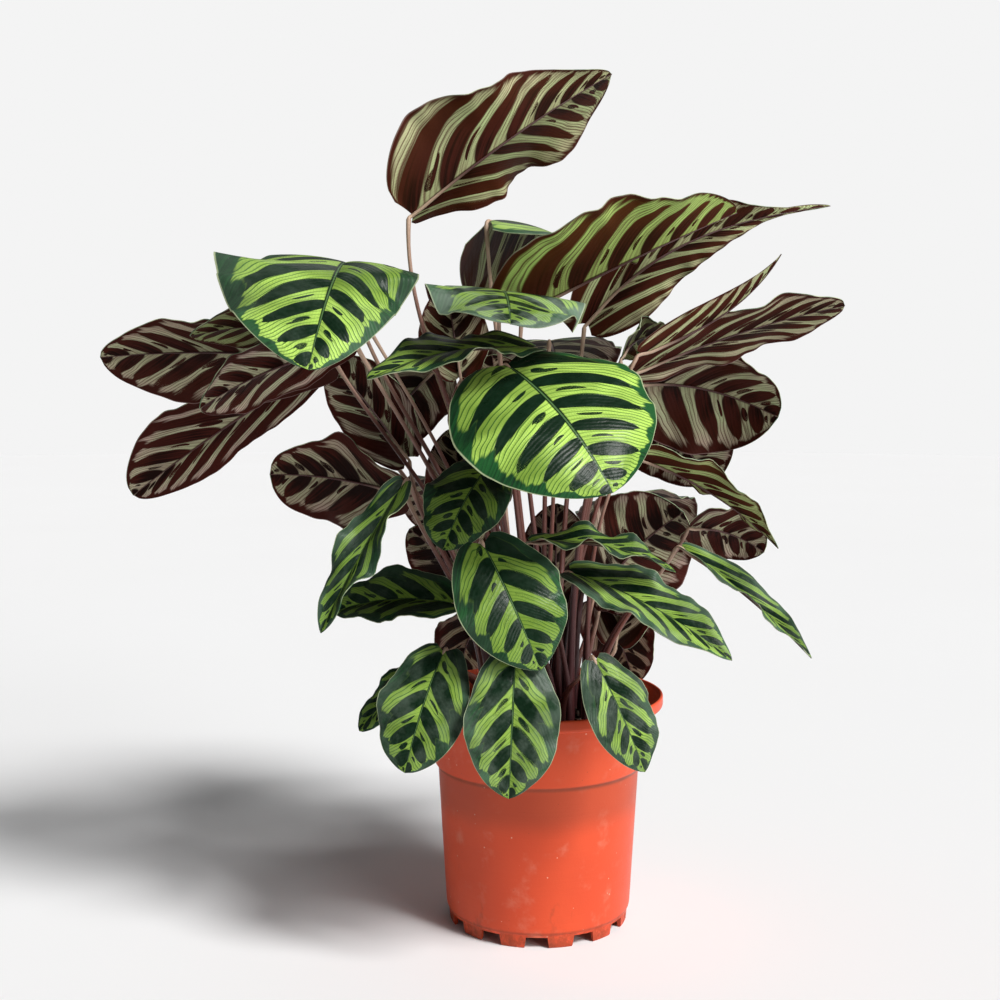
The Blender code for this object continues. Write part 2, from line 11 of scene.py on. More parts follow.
import bpy
import numpy as np
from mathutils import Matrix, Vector
from bpy.props import FloatProperty, FloatVectorProperty, IntProperty, PointerProperty
from bpy.types import Operator, Panel, PropertyGroup


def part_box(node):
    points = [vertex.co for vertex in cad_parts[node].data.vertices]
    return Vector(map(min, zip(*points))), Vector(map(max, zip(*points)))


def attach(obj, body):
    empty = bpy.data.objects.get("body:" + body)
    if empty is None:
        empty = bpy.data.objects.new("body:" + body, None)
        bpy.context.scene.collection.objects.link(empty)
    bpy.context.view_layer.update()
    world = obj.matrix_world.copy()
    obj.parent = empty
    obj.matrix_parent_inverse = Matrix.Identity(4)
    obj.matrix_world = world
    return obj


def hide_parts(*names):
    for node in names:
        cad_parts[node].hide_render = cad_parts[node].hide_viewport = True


bl_info = {
    "name": "Potted peacock plant",
    "version": (1, 0, 0),
    "blender": (4, 5, 0),
    "location": "3D View > Sidebar > Plant",
    "description": "Makes the leaves, pot, soil and studio around the plant's packed frame",
    "category": "Object",
}

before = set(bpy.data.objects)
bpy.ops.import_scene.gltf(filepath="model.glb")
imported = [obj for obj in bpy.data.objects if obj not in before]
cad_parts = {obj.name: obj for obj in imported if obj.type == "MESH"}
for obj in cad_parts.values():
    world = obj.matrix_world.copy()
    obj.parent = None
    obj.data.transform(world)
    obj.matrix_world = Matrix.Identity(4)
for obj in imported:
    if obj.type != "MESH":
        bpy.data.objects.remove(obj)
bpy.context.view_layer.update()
POT_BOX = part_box("pot")
POT_AXIS = np.array([(POT_BOX[0][0] + POT_BOX[1][0])/2, (POT_BOX[0][1] + POT_BOX[1][1])/2, 0])
BODY = "root"

# Names of the maps and of the numbers kept on each leaf for its materials
BLADE_UV = "blade"
BREADTH_UV = "breadth"
GROWTH = "growth"
MARKING = "marking"
TRAITS = "traits"

# Distance under which points are one, and angles in degrees under which an edge is smooth
MERGE_DISTANCE = 0.00001
LEAF_SMOOTHING = 60
POT_SMOOTHING = 35
SOIL_SMOOTHING = 50

# Pot: points are (radius, height)
FLOOR_UNDERSIDE = 0.0078
FLOOR_TOP = 0.0098
POT_PROFILE = [
    (0, FLOOR_TOP), (0.0606, FLOOR_TOP), (0.0616, 0.0125), (0.0669, 0.105), (0.0694, 0.110),
    (0.0755, 0.1475), (0.0826, 0.1556), (0.0832, 0.157), (0.0845, 0.157), (0.085, 0.1562),
    (0.085, 0.1505), (0.0840, 0.149), (0.080, 0.148), (0.0772, 0.1475), (0.0712, 0.110),
    (0.0692, 0.108), (0.0686, 0.1055), (0.0633, 0.012), (0.0626, 0.0095), (0.0618, 0.0085),
    (0.0610, 0), (0.0585, 0), (0.0583, FLOOR_UNDERSIDE), (0, FLOOR_UNDERSIDE)]
CORNER_CUTS = (0.0006, 0.00024)
LONGEST_CUT = 0.3
FOOT_COUNT = 12
FIRST_FOOT = math.radians(12.8)
NOTCH_HEIGHT = 0.0075
NOTCH_DROP = 0.003
NOTCH_TOP_WIDTH = 0.014
NOTCH_BOTTOM_WIDTH = 0.017
NOTCH_RADIUS = 0.060
NOTCH_DEPTH = 0.008
DRAIN_COUNT = 8
DRAIN_RADIUS = 0.004
DRAIN_CIRCLE = 0.038
DRAIN_STEPS = 32
DRAIN_MIDDLE = 0.009
DRAIN_DEPTH = 0.01

# Soil and the crumbs on it
SOIL_TOP = 0.139
SOIL_RADIUS = 0.0737
SOIL_FOOT = 0.120
SOIL_INSET = 0.003
SOIL_SKIN = 0.001
SOIL_RINGS = 60
SOIL_STEPS = 120
MOUND_HEIGHT = 0.0009
CRUMB_KINDS = 5
FINE_KINDS = 2
CRUMB_RADII = (0.0006, 0.0026)
CRUMB_DENTS = 0.28
CRUMB_STRETCH = (0.55, 1.1)
CRUMB_LIFT = 0.25

# Round specks in a finish
SPECK_EDGE = 0.04

# Stalks: each is given as (radius at the soil, at the blade)
THICK_STALK = (0.0026, 0.0013)
THIN_STALK = (0.0022, 0.0011)
STALK_SIDES = 12
STALK_STEPS = 36
KNEE_STEPS = 6
RIB_STEPS = 34
COLLAR = 0.005
STALK_RISE = 0.45
STALK_REACH = 0.30
STALK_UNDER = 0.5
LEAN_OUT = 0.35
LEAN_UP = 0.6
KNEE = 0.004
KNEE_ROUNDING = 0.5
BURIED = 0.004
STALK_SHARE = 0.7
SHEATH_SWELL = 0.35
SHEATH_LENGTH = 0.035
JOINT_SWELL = 0.30
JOINT_LENGTH = 0.012
RIB_TIP = 0.0003
RIB_TAPER = 0.9
RIB_CURVE = 0.8
RIB_START = 0.05
RIB_BEDDING = 0.0001

# Blades
BROAD_BLADE = 0.030
BROAD_COLUMNS = 44
NARROW_COLUMNS = 32
ROW_LENGTH = 0.0018
ROW_RANGE = (40, 96)
ROW_EASING = 0.04
BASE_ROUNDING = 0.24
BASE_NARROWING = 0.3
BASE_POWER = 8
TIP_WIDTH = 0.12
WAVE_SPAN = 0.92
WAVE_START = 0.06
WAVE_LAG = 2.2
FINE_WAVE = 0.0005
FINE_COUNT = 3.7
RUFFLE_HEIGHT = 0.0017
RUFFLE_LENGTH = 0.024
RUFFLE_STARTS = (1.9, 0.3)
RUFFLE_WAVES = ((0.5, 1, 1), (0.3, 1.73, 2.1), (0.5, 0.57, 1.3))
VEIN_RELIEF = 0.00005
VEIN_SPACING = 0.055
STEEPEST_VEIN = 0.42
VEIN_EASING = 0.45
VEIN_CURVE = 0.17
LOBE_CURVE = 1.3
LOBE_POWER = 5
GROOVE_DEPTH = 0.0005
GROOVE_WIDTH = 0.035

# Pattern of the blades: places and reaches are shares of half a blade, widths of a blotch's cycle
GOLDEN_SHARE = 0.381966
FEWEST_BLOTCHES = 3.2
BLOTCH_SPACING = 0.045
CYCLE_CLOSING = 0.45
HALF_SHIFT = 0.45
BLOTCH_WIDTH = 0.46
BLOTCH_REACH = (0.90, 0.62)
BLOTCH_SOFTNESS = 0.016
OVAL_PLACE = 0.20
OVAL_LENGTH = 0.07
OVAL_WIDTH = 0.05
OVALS_FROM = 0.3
MARGIN_PLACE = 0.755
MARGIN_SOFTNESS = 0.05
MARGIN_NOTCH = 0.28
LINES_IN_CYCLE = 7
RUNGS_ACROSS = 42
TRUNK_LINE = (0.022, 0.036)
MIDDLE_LINE = (0.005, 0.011)
EDGE_LINE = (0.980, 0.992)
UNDER_SPREAD = 0.06

# What a fully marked leaf has more of: spacing, width, margin, notches and bloom
MARKED_SPACING = 0.2
MARKED_WIDTH = 0.08
MARKED_MARGIN = 0.18
MARKED_NOTCH = 0.28
MARKED_BLOOM = 0.25

# Studio: places are given from the foot of the pot
FLOOR_RADIUS = 6
FLOOR_STEPS = 96
FLOOR_MOTTLE = (0.72, 0.71, 0.69)
SKY_COLOUR = (0.985, 0.985, 0.985)
KEY_PLACE = (1.0, -0.75, 1.35)
KEY_COLOUR = (1, 0.985, 0.965)
FILL_PLACE = (1.2, -1.05, 0.35)
FILL_COLOUR = (1, 0.99, 0.98)
BACK_PLACE = (0.3, 1.3, 1.1)
BACK_SHARE = 0.12
CAMERA_PLACE = (-0.0263, -0.9415, 0.3726)
SENSOR_WIDTH = 36
NEAR_CLIP = 0.02


@dataclass
class Leaf:
    """One leaf in metres and degrees.

    The stalk stands in the soil at root, and the blade runs from base to tip with its upper side
    towards face. Half is half its width, belly where it is widest, point how sharp its tip is and
    lobe how far its base reaches back. Arch and sway bend the midrib up and sideways at a third
    and two thirds of it. Fold and curl are the angles of the left and the right half at the
    midrib and on to the edge. Skew makes the right half wider, and slant does so near the base
    and the other way near the tip. Wave is the height, count and start of the edge's waves, and
    ruffle the strength of its small ones. Lean is the way that the stalk arrives.

    Glow is light that shines through, painted into the colour, and dust a grey bloom with a
    painted sheen. A marked leaf has fewer and broader blotches and a broader dark margin, as the
    low ones have, and shade is painted shade that darkens the whole leaf.
    """

    root: tuple
    base: tuple
    tip: tuple
    face: tuple
    half: float
    arch: tuple = (0.008, 0.008)
    sway: tuple = (0, 0)
    fold: tuple = (12, 12)
    curl: tuple = (-25, -25)
    wave: tuple = (0.003, 2.5, 0)
    skew: float = 0
    slant: float = 0
    belly: float = 0.44
    point: float = 0.62
    lobe: float = 0.16
    lean: tuple = None
    ruffle: float = 1
    glow: float = 0.08
    dust: float = 0.1
    marked: float = 0
    shade: float = 0


# Every leaf from 1 to 48: root, base, tip, face and half width, then what isn't as usual. The tips
# of leaves 1, 3, 7, 24 and 39 and the waves of leaf 3 are a little under the solids', whose flat
# facets cut the crests that a smooth blade has.
LEAVES = [
    Leaf((-0.013, 0.007), (-0.085, 0.01, 0.48), (0.0505, 0.04, 0.5791), (-0.1, 0.9, 0.4), 0.045,
         arch=(-0.006, -0.006), sway=(0.006, 0.006), fold=(38, 0), curl=(-10, -15),
         wave=(0.008, 2.2, -1.5), skew=-0.02, slant=1, belly=0.32, point=0.56, lobe=0.08,
         lean=(0.1, 0, 1), ruffle=1.5, glow=0.35),
    Leaf((-0.02, 0.003), (-0.127, 0, 0.446), (-0.138, -0.126, 0.376), (0.15, -0.5, 0.8), 0.061,
         arch=(0.024, 0.022), fold=(20, 5), curl=(-45, -25), wave=(0.008, 2.3, 1), skew=0.2,
         belly=0.42, point=0.66, ruffle=3.6, dust=0.15, marked=0.2),
    Leaf((-0.009, -0.027), (-0.022, -0.061, 0.379), (0.04, -0.1247, 0.304), (0.15, -0.75, 0.6),
         0.068, arch=(0.012, 0.012), fold=(8, 8), curl=(-30, -30), wave=(0.002, 2.5, 0),
         ruffle=0.7, dust=0),
    Leaf((-0.006, -0.006), (-0.026, -0.006, 0.428), (-0.02, -0.112, 0.403), (0.12, -0.05, 1), 0.05,
         arch=(0.007, 0.007), fold=(4, 4), curl=(-24, -24), wave=(0.007, 2.4, 0), ruffle=2,
         dust=0.6, marked=0.5, shade=0.5),
    Leaf((-0.005, 0.016), (-0.034, 0.026, 0.478), (0.025, 0.135, 0.464), (0, 0, 1), 0.061,
         arch=(0.01, 0.005), fold=(-50, -10), curl=(-14, -20), wave=(0.005, 2, 0), skew=-0.1,
         belly=0.34, lobe=0.3, lean=(-0.05, 0, 1), glow=0.3),
    Leaf((0.005, 0.001), (-0.008, 0.016, 0.416), (0.135, 0.022, 0.483), (-0.3, 0.8, 0.5), 0.052,
         arch=(-0.012, -0.012), sway=(0.01, 0.01), fold=(70, 0), curl=(-20, -20),
         wave=(0.005, 2.5, 0), slant=0.7, belly=0.38, point=0.5, lobe=0.3, lean=(0.1, 0.1, 1),
         ruffle=1.8, glow=0.9),
    Leaf((0.013, -0.003), (0.037, 0.078, 0.41), (0.2149, 0.092, 0.496), (-0.3, 0.9, 0.3), 0.034,
         arch=(-0.004, -0.004), sway=(0.03, 0.018), fold=(5, 5), curl=(-15, -16),
         wave=(0.004, 2.4, 0), skew=0.25, slant=-0.6, belly=0.2, point=2.6, lean=(0.1, 0.1, 1),
         ruffle=2, glow=0.35),
    Leaf((0.021, -0.014), (0.063, -0.057, 0.386), (0.151, -0.052, 0.449), (-0.5, 0.5, 0.8), 0.013,
         arch=(-0.004, -0.01), sway=(-0.006, -0.008), fold=(50, 46), curl=(24, 18),
         wave=(0.001, 2, 0), belly=0.35, point=1.2, glow=0.3),
    Leaf((0.022, -0.005), (0.062, 0, 0.373), (0.208, 0.014, 0.42), (-0.2, 0.7, 0.7), 0.023,
         arch=(0.006, 0.006), fold=(10, 10), curl=(-20, -20), wave=(0.005, 3, 0), belly=0.54,
         point=0.48, ruffle=1.6, glow=0.2, marked=0.5),
    Leaf((0.022, 0.005), (0.066, 0.03, 0.366), (0.172, 0.054, 0.343), (0.1, 0.8, 0.6), 0.046,
         arch=(0.014, 0.014), fold=(5, 5), curl=(-30, -25), wave=(0.005, 2.4, 0), skew=-0.18,
         belly=0.54, point=0.5, glow=0.15, marked=0.6),
    Leaf((0.026, 0.03), (0.074, 0.072, 0.352), (0.134, 0.104, 0.292), (0.3, 0.8, 0.4), 0.042,
         arch=(0.006, 0.006), belly=0.5, marked=0.5),
    Leaf((0.032, -0.016), (0.061, -0.022, 0.32), (0.159, -0.02, 0.258), (0.3, 0.4, 0.8), 0.02,
         arch=(0.008, 0.008), fold=(35, 35), curl=(-20, -20), wave=(0.004, 3, 0), belly=0.38,
         point=1, glow=0.6, marked=0.2),
    Leaf((0.031, 0.018), (0.046, 0.036, 0.222), (0.104, 0.043, 0.276), (-0.3, 0.9, 0.3), 0.05,
         belly=0.5, marked=0.4, shade=0.3),
    Leaf((0.01, -0.03), (-0.007, -0.07, 0.268), (0.082, -0.09, 0.252), (0, -0.3, 1), 0.015,
         fold=(30, 30), wave=(0.005, 2.8, 0), point=1, ruffle=1.6, marked=0.8, shade=0.6),
    Leaf((0.039, -0.007), (0.095, -0.02, 0.258), (0.178, -0.04, 0.188), (0.3, -0.6, 0.6), 0.012,
         arch=(0.006, 0.004), fold=(50, 50), point=0.9, dust=0.25, marked=0.7, shade=0.5),
    Leaf((0.02, -0.03), (0.018, -0.062, 0.248), (0.114, -0.11, 0.201), (0.1, -0.6, 0.8), 0.022,
         arch=(0.008, 0.008), fold=(25, 25), wave=(0.004, 2.5, 0), point=0.8, ruffle=1.8,
         dust=0.25, marked=0.4, shade=0.35),
    Leaf((-0.008, -0.036), (-0.037, -0.086, 0.269), (-0.002, -0.115, 0.196), (0.1, -0.9, 0.4),
         0.034, arch=(0.008, 0.006), wave=(0.003, 2.5, 0), belly=0.46, point=0.75, ruffle=1.5,
         dust=0.05, marked=0.6, shade=0.85),
    Leaf((-0.002, -0.044), (-0.017, -0.105, 0.203), (-0.021, -0.125, 0.12), (0, -0.95, 0.3), 0.029,
         arch=(0.008, 0.006), belly=0.5, point=0.72, dust=0.26, marked=1, shade=0.6),
    Leaf((-0.024, -0.036), (-0.061, -0.088, 0.202), (-0.084, -0.115, 0.133), (-0.2, -0.9, 0.3),
         0.028, arch=(0.008, 0.006), belly=0.5, point=0.65, dust=0.2, marked=1, shade=0.6),
    Leaf((0.014, -0.042), (0.032, -0.098, 0.198), (0.062, -0.11, 0.132), (0.2, -0.9, 0.3), 0.021,
         arch=(0.006, 0.004), belly=0.48, point=0.8, ruffle=1.8, dust=0.22, marked=0.9, shade=0.5),
    Leaf((-0.032, -0.025), (-0.087, -0.061, 0.305), (-0.136, -0.1, 0.216), (-0.3, -0.8, 0.4),
         0.016, arch=(0.004, 0.004), fold=(40, 30), wave=(0.007, 2.2, 1.5), belly=0.45, point=0.8,
         ruffle=3, dust=0.15, marked=1.2, shade=1),
    Leaf((-0.036, -0.007), (-0.092, -0.01, 0.294), (-0.182, 0, 0.306), (0.2, 0.8, 0.5), 0.036,
         arch=(0.006, 0.006), wave=(0.007, 1.6, 0.6), skew=0.12, belly=0.58, point=0.5, ruffle=2.5,
         marked=1, shade=0.4),
    Leaf((-0.036, -0.017), (-0.056, -0.028, 0.222), (-0.137, -0.018, 0.215), (0, -0.2, 1), 0.024,
         arch=(0.006, 0.006), fold=(0, 55), ruffle=1.6, marked=1, shade=1),
    Leaf((-0.03, 0.008), (-0.144, 0.024, 0.384), (-0.2988, 0.014, 0.385), (0, 0.7, 0.7), 0.042,
         arch=(0.006, 0.006), skew=0.22, belly=0.5, point=0.55, glow=0.15, marked=0.7),
    Leaf((-0.03, -0.013), (-0.125, -0.022, 0.393), (-0.216, -0.06, 0.352), (0.1, 0.6, 0.8), 0.034,
         arch=(0.006, 0.006), belly=0.5, point=0.6, marked=0.6),
    Leaf((-0.036, 0.024), (-0.156, 0.084, 0.38), (-0.296, 0.08, 0.285), (-0.3, 0.8, 0.5), 0.033,
         arch=(0.006, 0.006), wave=(0.005, 2, 2), skew=-0.2, belly=0.6, point=0.5, ruffle=1.5,
         marked=0.9),
    Leaf((-0.033, 0.015), (-0.092, 0.042, 0.315), (-0.148, 0.05, 0.385), (0.2, 0.9, 0.3), 0.03,
         arch=(0.004, 0.004), marked=0.5),
    Leaf((-0.024, -0.005), (-0.116, -0.014, 0.404), (-0.226, -0.038, 0.398), (0, 0.5, 0.85), 0.026,
         arch=(0.006, 0.006), belly=0.5, point=0.6, glow=0.55, marked=0.3),
    Leaf((-0.022, -0.016), (-0.034, -0.04, 0.314), (-0.062, -0.076, 0.264), (-0.2, -0.8, 0.5),
         0.028, arch=(0.006, 0.006), ruffle=1.5, marked=0.6, shade=0.85),
    Leaf((0.031, -0.001), (0.042, 0.002, 0.233), (0.067, 0.017, 0.208), (0.3, 0.8, 0.2), 0.021,
         arch=(0.004, 0.004), marked=0.5, shade=0.5),
    Leaf((0.015, 0.009), (0.06, 0.054, 0.385), (0.095, 0.074, 0.401), (0, 0.6, 0.8), 0.023,
         glow=0.5, shade=0.4),
    Leaf((-0.012, 0.015), (-0.054, 0.038, 0.372), (-0.064, 0.056, 0.436), (-0.1, 0.95, 0.2), 0.025,
         arch=(0.002, 0.004), glow=0.2, shade=0.3),
    Leaf((-0.022, 0.02), (-0.074, 0.066, 0.376), (-0.12, 0.104, 0.316), (-0.3, 0.8, 0.4), 0.036,
         marked=0.5, shade=0.3),
    Leaf((0.003, -0.014), (-0.004, -0.032, 0.39), (-0.108, -0.08, 0.37), (0, -0.3, 1), 0.028,
         fold=(20, 20), wave=(0.005, 2, 0), lean=(-0.3, -0.2, 1), ruffle=2, marked=0.5,
         shade=0.45),
    Leaf((-0.039, 0), (-0.06, -0.03, 0.185), (-0.118, -0.05, 0.142), (-0.3, -0.6, 0.6), 0.016,
         marked=0.8, shade=0.6),
    Leaf((-0.032, 0.032), (-0.056, 0.05, 0.222), (-0.092, 0.062, 0.262), (0.2, 0.9, 0.3), 0.026,
         marked=0.7, shade=0.6),
    Leaf((0.038, 0.004), (0.104, 0.01, 0.268), (0.158, 0.024, 0.25), (0.2, 0.8, 0.5), 0.026,
         belly=0.5, marked=0.6),
    Leaf((0.004, 0.024), (0.01, 0.09, 0.398), (0.022, 0.194, 0.356), (0, 0.4, 0.9), 0.052,
         arch=(0.012, 0.012), shade=0.5),
    Leaf((-0.014, 0.032), (-0.042, 0.118, 0.29), (-0.086, 0.2037, 0.244), (0, 0.5, 0.8), 0.044,
         arch=(0.012, 0.012), shade=0.6),
    Leaf((0.017, 0.029), (0.058, 0.084, 0.282), (0.106, 0.176, 0.228), (0, 0.5, 0.8), 0.046,
         arch=(0.012, 0.012), shade=0.4),
    Leaf((-0.002, 0.042), (-0.005, 0.095, 0.215), (-0.005, 0.15, 0.15), (0, 0.7, 0.7), 0.034,
         marked=0.8, shade=0.7),
    Leaf((-0.026, 0.041), (-0.038, 0.08, 0.2), (-0.06, 0.122, 0.135), (-0.2, 0.8, 0.5), 0.028,
         marked=0.9, shade=0.7),
    Leaf((0.027, 0.038), (0.046, 0.08, 0.205), (0.078, 0.12, 0.135), (0.2, 0.8, 0.5), 0.028,
         marked=0.9, shade=0.7),
    Leaf((-0.014, 0.024), (-0.024, 0.066, 0.306), (-0.032, 0.08, 0.388), (0, 0.95, 0.2), 0.037,
         arch=(0.002, 0.004), shade=0.7),
    Leaf((0.01, 0.036), (0.014, 0.066, 0.204), (0.016, 0.09, 0.278), (0, 0.95, 0.2), 0.028,
         arch=(0.002, 0.004), shade=0.8),
    Leaf((0.035, 0.028), (0.058, 0.056, 0.18), (0.074, 0.084, 0.256), (0.2, 0.95, 0.2), 0.026,
         arch=(0.002, 0.004), shade=0.8),
    Leaf((-0.021, 0.035), (-0.046, 0.072, 0.246), (-0.062, 0.094, 0.334), (-0.1, 0.95, 0.2), 0.029,
         arch=(0.002, 0.004), shade=0.8),
    Leaf((0.012, 0.024), (0.023, 0.06, 0.292), (0.034, 0.084, 0.366), (0.1, 0.95, 0.2), 0.029,
         arch=(0.002, 0.004), shade=0.8),
]


def unit(vectors):
    return vectors / np.linalg.norm(vectors, axis=-1, keepdims=True)


def bezier(points, t):
    """Places and directions on a cubic curve with four control points."""
    p0, p1, p2, p3 = points
    t = np.asarray(t, float)[:, None]
    s = 1 - t
    place = s**3*p0 + 3*s*s*t*p1 + 3*s*t*t*p2 + t**3*p3
    slope = 3*s*s*(p1 - p0) + 6*s*t*(p2 - p1) + 3*t*t*(p3 - p2)
    return place, unit(slope)


def midrib(leaf):
    """Control points of the midrib: arch lifts it upwards, and sway bends it sideways."""
    base, tip = np.array(leaf.base, float), np.array(leaf.tip, float)
    along = unit(tip - base)
    face = unit(np.array(leaf.face, float))
    up = unit(face - (face @ along)*along)
    side = np.cross(along, up)
    inner = []
    for k in (0, 1):
        straight = base + (tip - base)*(k + 1)/3
        inner.append(straight + (up*leaf.arch[k] + side*leaf.sway[k])*4/3)
    return base, inner[0], inner[1], tip


def blade_frames(leaf, u):
    """Midrib points with the directions along it, out of the upper side, and across the blade."""
    centre, along = bezier(midrib(leaf), u)
    face = unit(np.array(leaf.face, float))
    up = unit(face - (along @ face)[:, None]*along)
    return centre, along, up, np.cross(along, up)


def half_width(leaf, u):
    """Half width at u, from 0 at the stalk to 1 at the tip: two curves that meet at the belly."""
    to_base = np.clip(1 - u/leaf.belly, 0, 1)
    to_tip = 1 - np.clip((u - leaf.belly)/(1 - leaf.belly), 0, 1)**2
    shape = np.sqrt(1 - to_base**2)*np.maximum(to_tip**leaf.point, TIP_WIDTH*np.sqrt(to_tip))
    shoulder = (1 - u)**BASE_POWER
    return leaf.half*(shape*(1 - BASE_NARROWING*shoulder) + BASE_ROUNDING*shoulder)


def blade_length(leaf):
    return np.linalg.norm(np.array(leaf.tip, float) - np.array(leaf.base, float))


def ruffle(leaf, u, v):
    """Small uneven swells along each edge, from about -1 to 1, unlike on any other leaf."""
    way = 2*np.pi*u*blade_length(leaf)/RUFFLE_LENGTH
    start = np.where(v < 0, *RUFFLE_STARTS) + 40*leaf.half + 9*leaf.belly + 70*leaf.base[0]
    return sum(height*np.sin(pace*way + shift*start) for height, pace, shift in RUFFLE_WAVES)


def vein_slope(leaf):
    """How far a side vein runs on along the blade as it crosses one half of it."""
    return STEEPEST_VEIN - VEIN_EASING*leaf.half/blade_length(leaf)


def vein_place(leaf, u, out):
    """Where the side vein through a point leaves the midrib."""
    away = out*half_width(leaf, u)/leaf.half
    return u - vein_slope(leaf)*away - VEIN_CURVE*away**2


def blade_surface(leaf, u, v):
    """Points of the blade at u along and v across.

    Each half leaves the midrib at its fold angle and bends evenly to its edge by its curl. The
    edges are waved, near the stalk they reach back past it as two lobes, and the side veins stand
    out as low ridges.
    """
    centre, along, up, across = blade_frames(leaf, u)
    left = v < 0
    side = np.where(left, -1, 1)
    half = np.where(left, 0, 1)
    out = abs(v)
    reach = half_width(leaf, u)*(1 + side*(leaf.skew + leaf.slant*(0.5 - u)))
    fold = np.radians(np.array(leaf.fold, float))[half]
    curl = np.radians(np.array(leaf.curl, float))[half]
    turn = fold + curl*out
    sideways = side*reach*(np.sin(turn) - np.sin(fold))/curl
    upwards = reach*(np.cos(fold) - np.cos(turn))/curl

    height, count, phase = leaf.wave
    swell = np.sin(np.pi*np.clip(WAVE_SPAN*u + WAVE_START, 0, 1))
    start = phase + np.where(left, WAVE_LAG, 0)
    ripple = height*out**2*np.sin(2*np.pi*count*u + start)*swell
    fine = np.sin(2*np.pi*FINE_COUNT*count*u + phase + start)
    ripple = ripple + FINE_WAVE*out**3*fine*swell
    uneven = leaf.ruffle*ruffle(leaf, u, v)*swell**3*min(1, leaf.half/BROAD_BLADE)
    ripple = ripple + RUFFLE_HEIGHT*out**3*uneven
    veins = VEIN_RELIEF*np.sin(2*np.pi*vein_place(leaf, u, out)/VEIN_SPACING)*out*(1 - out)*4*swell
    groove = GROOVE_DEPTH*np.exp(-(out/GROOVE_WIDTH)**2)*(1 - u)*swell

    lobe = leaf.lobe*leaf.half*out**LOBE_CURVE*(1 - u)**LOBE_POWER
    normal = np.cos(turn)[:, None]*up - (side*np.sin(turn))[:, None]*across
    place = centre + sideways[:, None]*across + upwards[:, None]*up
    return place + (ripple + veins - groove)[:, None]*normal - lobe[:, None]*along


def stalk_line(leaf, radii):
    """Points of the stalk from the soil to the blade, then of the midrib under the blade.

    Returns the points with each one's radius and its share of the way, and the way across the
    blade at its base.
    """
    low, high = radii
    start = np.array([*leaf.root, SOIL_TOP + COLLAR])
    base = np.array(leaf.base, float)
    _, along, up, across = (a[0] for a in blade_frames(leaf, np.zeros(1)))
    away = along*(LEAN_OUT, LEAN_OUT, 0) + (0, 0, LEAN_UP)
    lean = unit(away if leaf.lean is None else np.array(leaf.lean, float))
    lean = unit(lean + up*max(0, STALK_UNDER - lean @ up))
    knee = base - KNEE*(along + up*(1 - lean @ along))
    length = np.linalg.norm(knee - start)
    handle = KNEE_ROUNDING*np.linalg.norm(base - knee)
    curve = (start, start + (0, 0, length*STALK_RISE), knee - lean*length*STALK_REACH, knee)
    bend = (knee, knee + lean*handle, base - along*handle, base)

    foot = start - (0, 0, COLLAR + BURIED)
    rise = np.linspace(0, 1, STALK_STEPS)
    sheath = SHEATH_SWELL*np.exp(-(rise*length/SHEATH_LENGTH)**2)
    joint = JOINT_SWELL*np.exp(-((1 - rise)*length/JOINT_LENGTH)**2)
    stem = (high + (low - high)*(1 - rise)**2)*(1 + sheath + joint)
    turns = np.linspace(0, 1, KNEE_STEPS)[1:]
    u = np.linspace(0, 1, RIB_STEPS)[1:]
    centre, _, above, _ = blade_frames(leaf, u)
    rib = np.maximum(RIB_TIP, high*(1 - RIB_TAPER*u**RIB_CURVE))
    groove = GROOVE_DEPTH*(1 - u)
    depth = (rib + groove - RIB_BEDDING)*np.minimum(1, u/RIB_START)
    sunk = centre - above*depth[:, None]

    points = np.vstack([foot[None], bezier(curve, rise)[0], bezier(bend, turns)[0], sunk])
    radius = np.concatenate([[stem[0]], stem, np.full(len(turns), high), rib])
    stalk_count = 1 + len(rise) + len(turns)
    share = np.concatenate([np.linspace(0, STALK_SHARE, stalk_count),
                            STALK_SHARE + (1 - STALK_SHARE)*u])
    return points, radius, share, across


def deselect():
    for obj in bpy.context.selected_objects:
        obj.select_set(False)


def select_only(obj):
    deselect()
    obj.select_set(True)
    bpy.context.view_layer.objects.active = obj


def edit_whole(obj, operator, **settings):
    """Runs an edit-mode operator on the whole mesh of one object."""
    select_only(obj)
    bpy.ops.object.mode_set(mode="EDIT")
    bpy.ops.mesh.select_all(action="SELECT")
    operator(**settings)
    bpy.ops.object.mode_set(mode="OBJECT")


def merge_close(obj):
    edit_whole(obj, bpy.ops.mesh.remove_doubles, threshold=MERGE_DISTANCE)


def turn_outwards(obj):
    edit_whole(obj, bpy.ops.mesh.normals_make_consistent, inside=False)


def apply_modifier(obj, modifier):
    bpy.context.view_layer.objects.active = obj
    bpy.ops.object.modifier_apply(modifier=modifier.name)


def place_mesh(obj):
    """Moves the object's place and turn into its mesh."""
    select_only(obj)
    bpy.ops.object.transform_apply(location=True, rotation=True, scale=True)


def smooth(obj, angle):
    select_only(obj)
    bpy.ops.object.shade_smooth_by_angle(angle=math.radians(angle))


def join(objects, name):
    deselect()
    for obj in objects:
        obj.select_set(True)
    bpy.context.view_layer.objects.active = objects[0]
    if len(objects) > 1:
        bpy.ops.object.join()
    obj = bpy.context.object
    obj.name = name
    obj.data.name = name
    return obj


def to_axis(points):
    return points + POT_AXIS


def mesh_points(obj):
    """The places of an object's points, in rows of three."""
    flat = np.empty(3*len(obj.data.vertices), np.float32)
    obj.data.vertices.foreach_get("co", flat)
    return flat.reshape(-1, 3)


def put_points(obj, points):
    obj.data.vertices.foreach_set("co", points.astype(np.float32).ravel())
    obj.data.update()


def map_pairs(obj):
    """The blade map of an object, in rows of two: across and along."""
    flat = np.empty(2*len(obj.data.loops), np.float32)
    obj.data.uv_layers[BLADE_UV].uv.foreach_get("vector", flat)
    return flat.reshape(-1, 2)


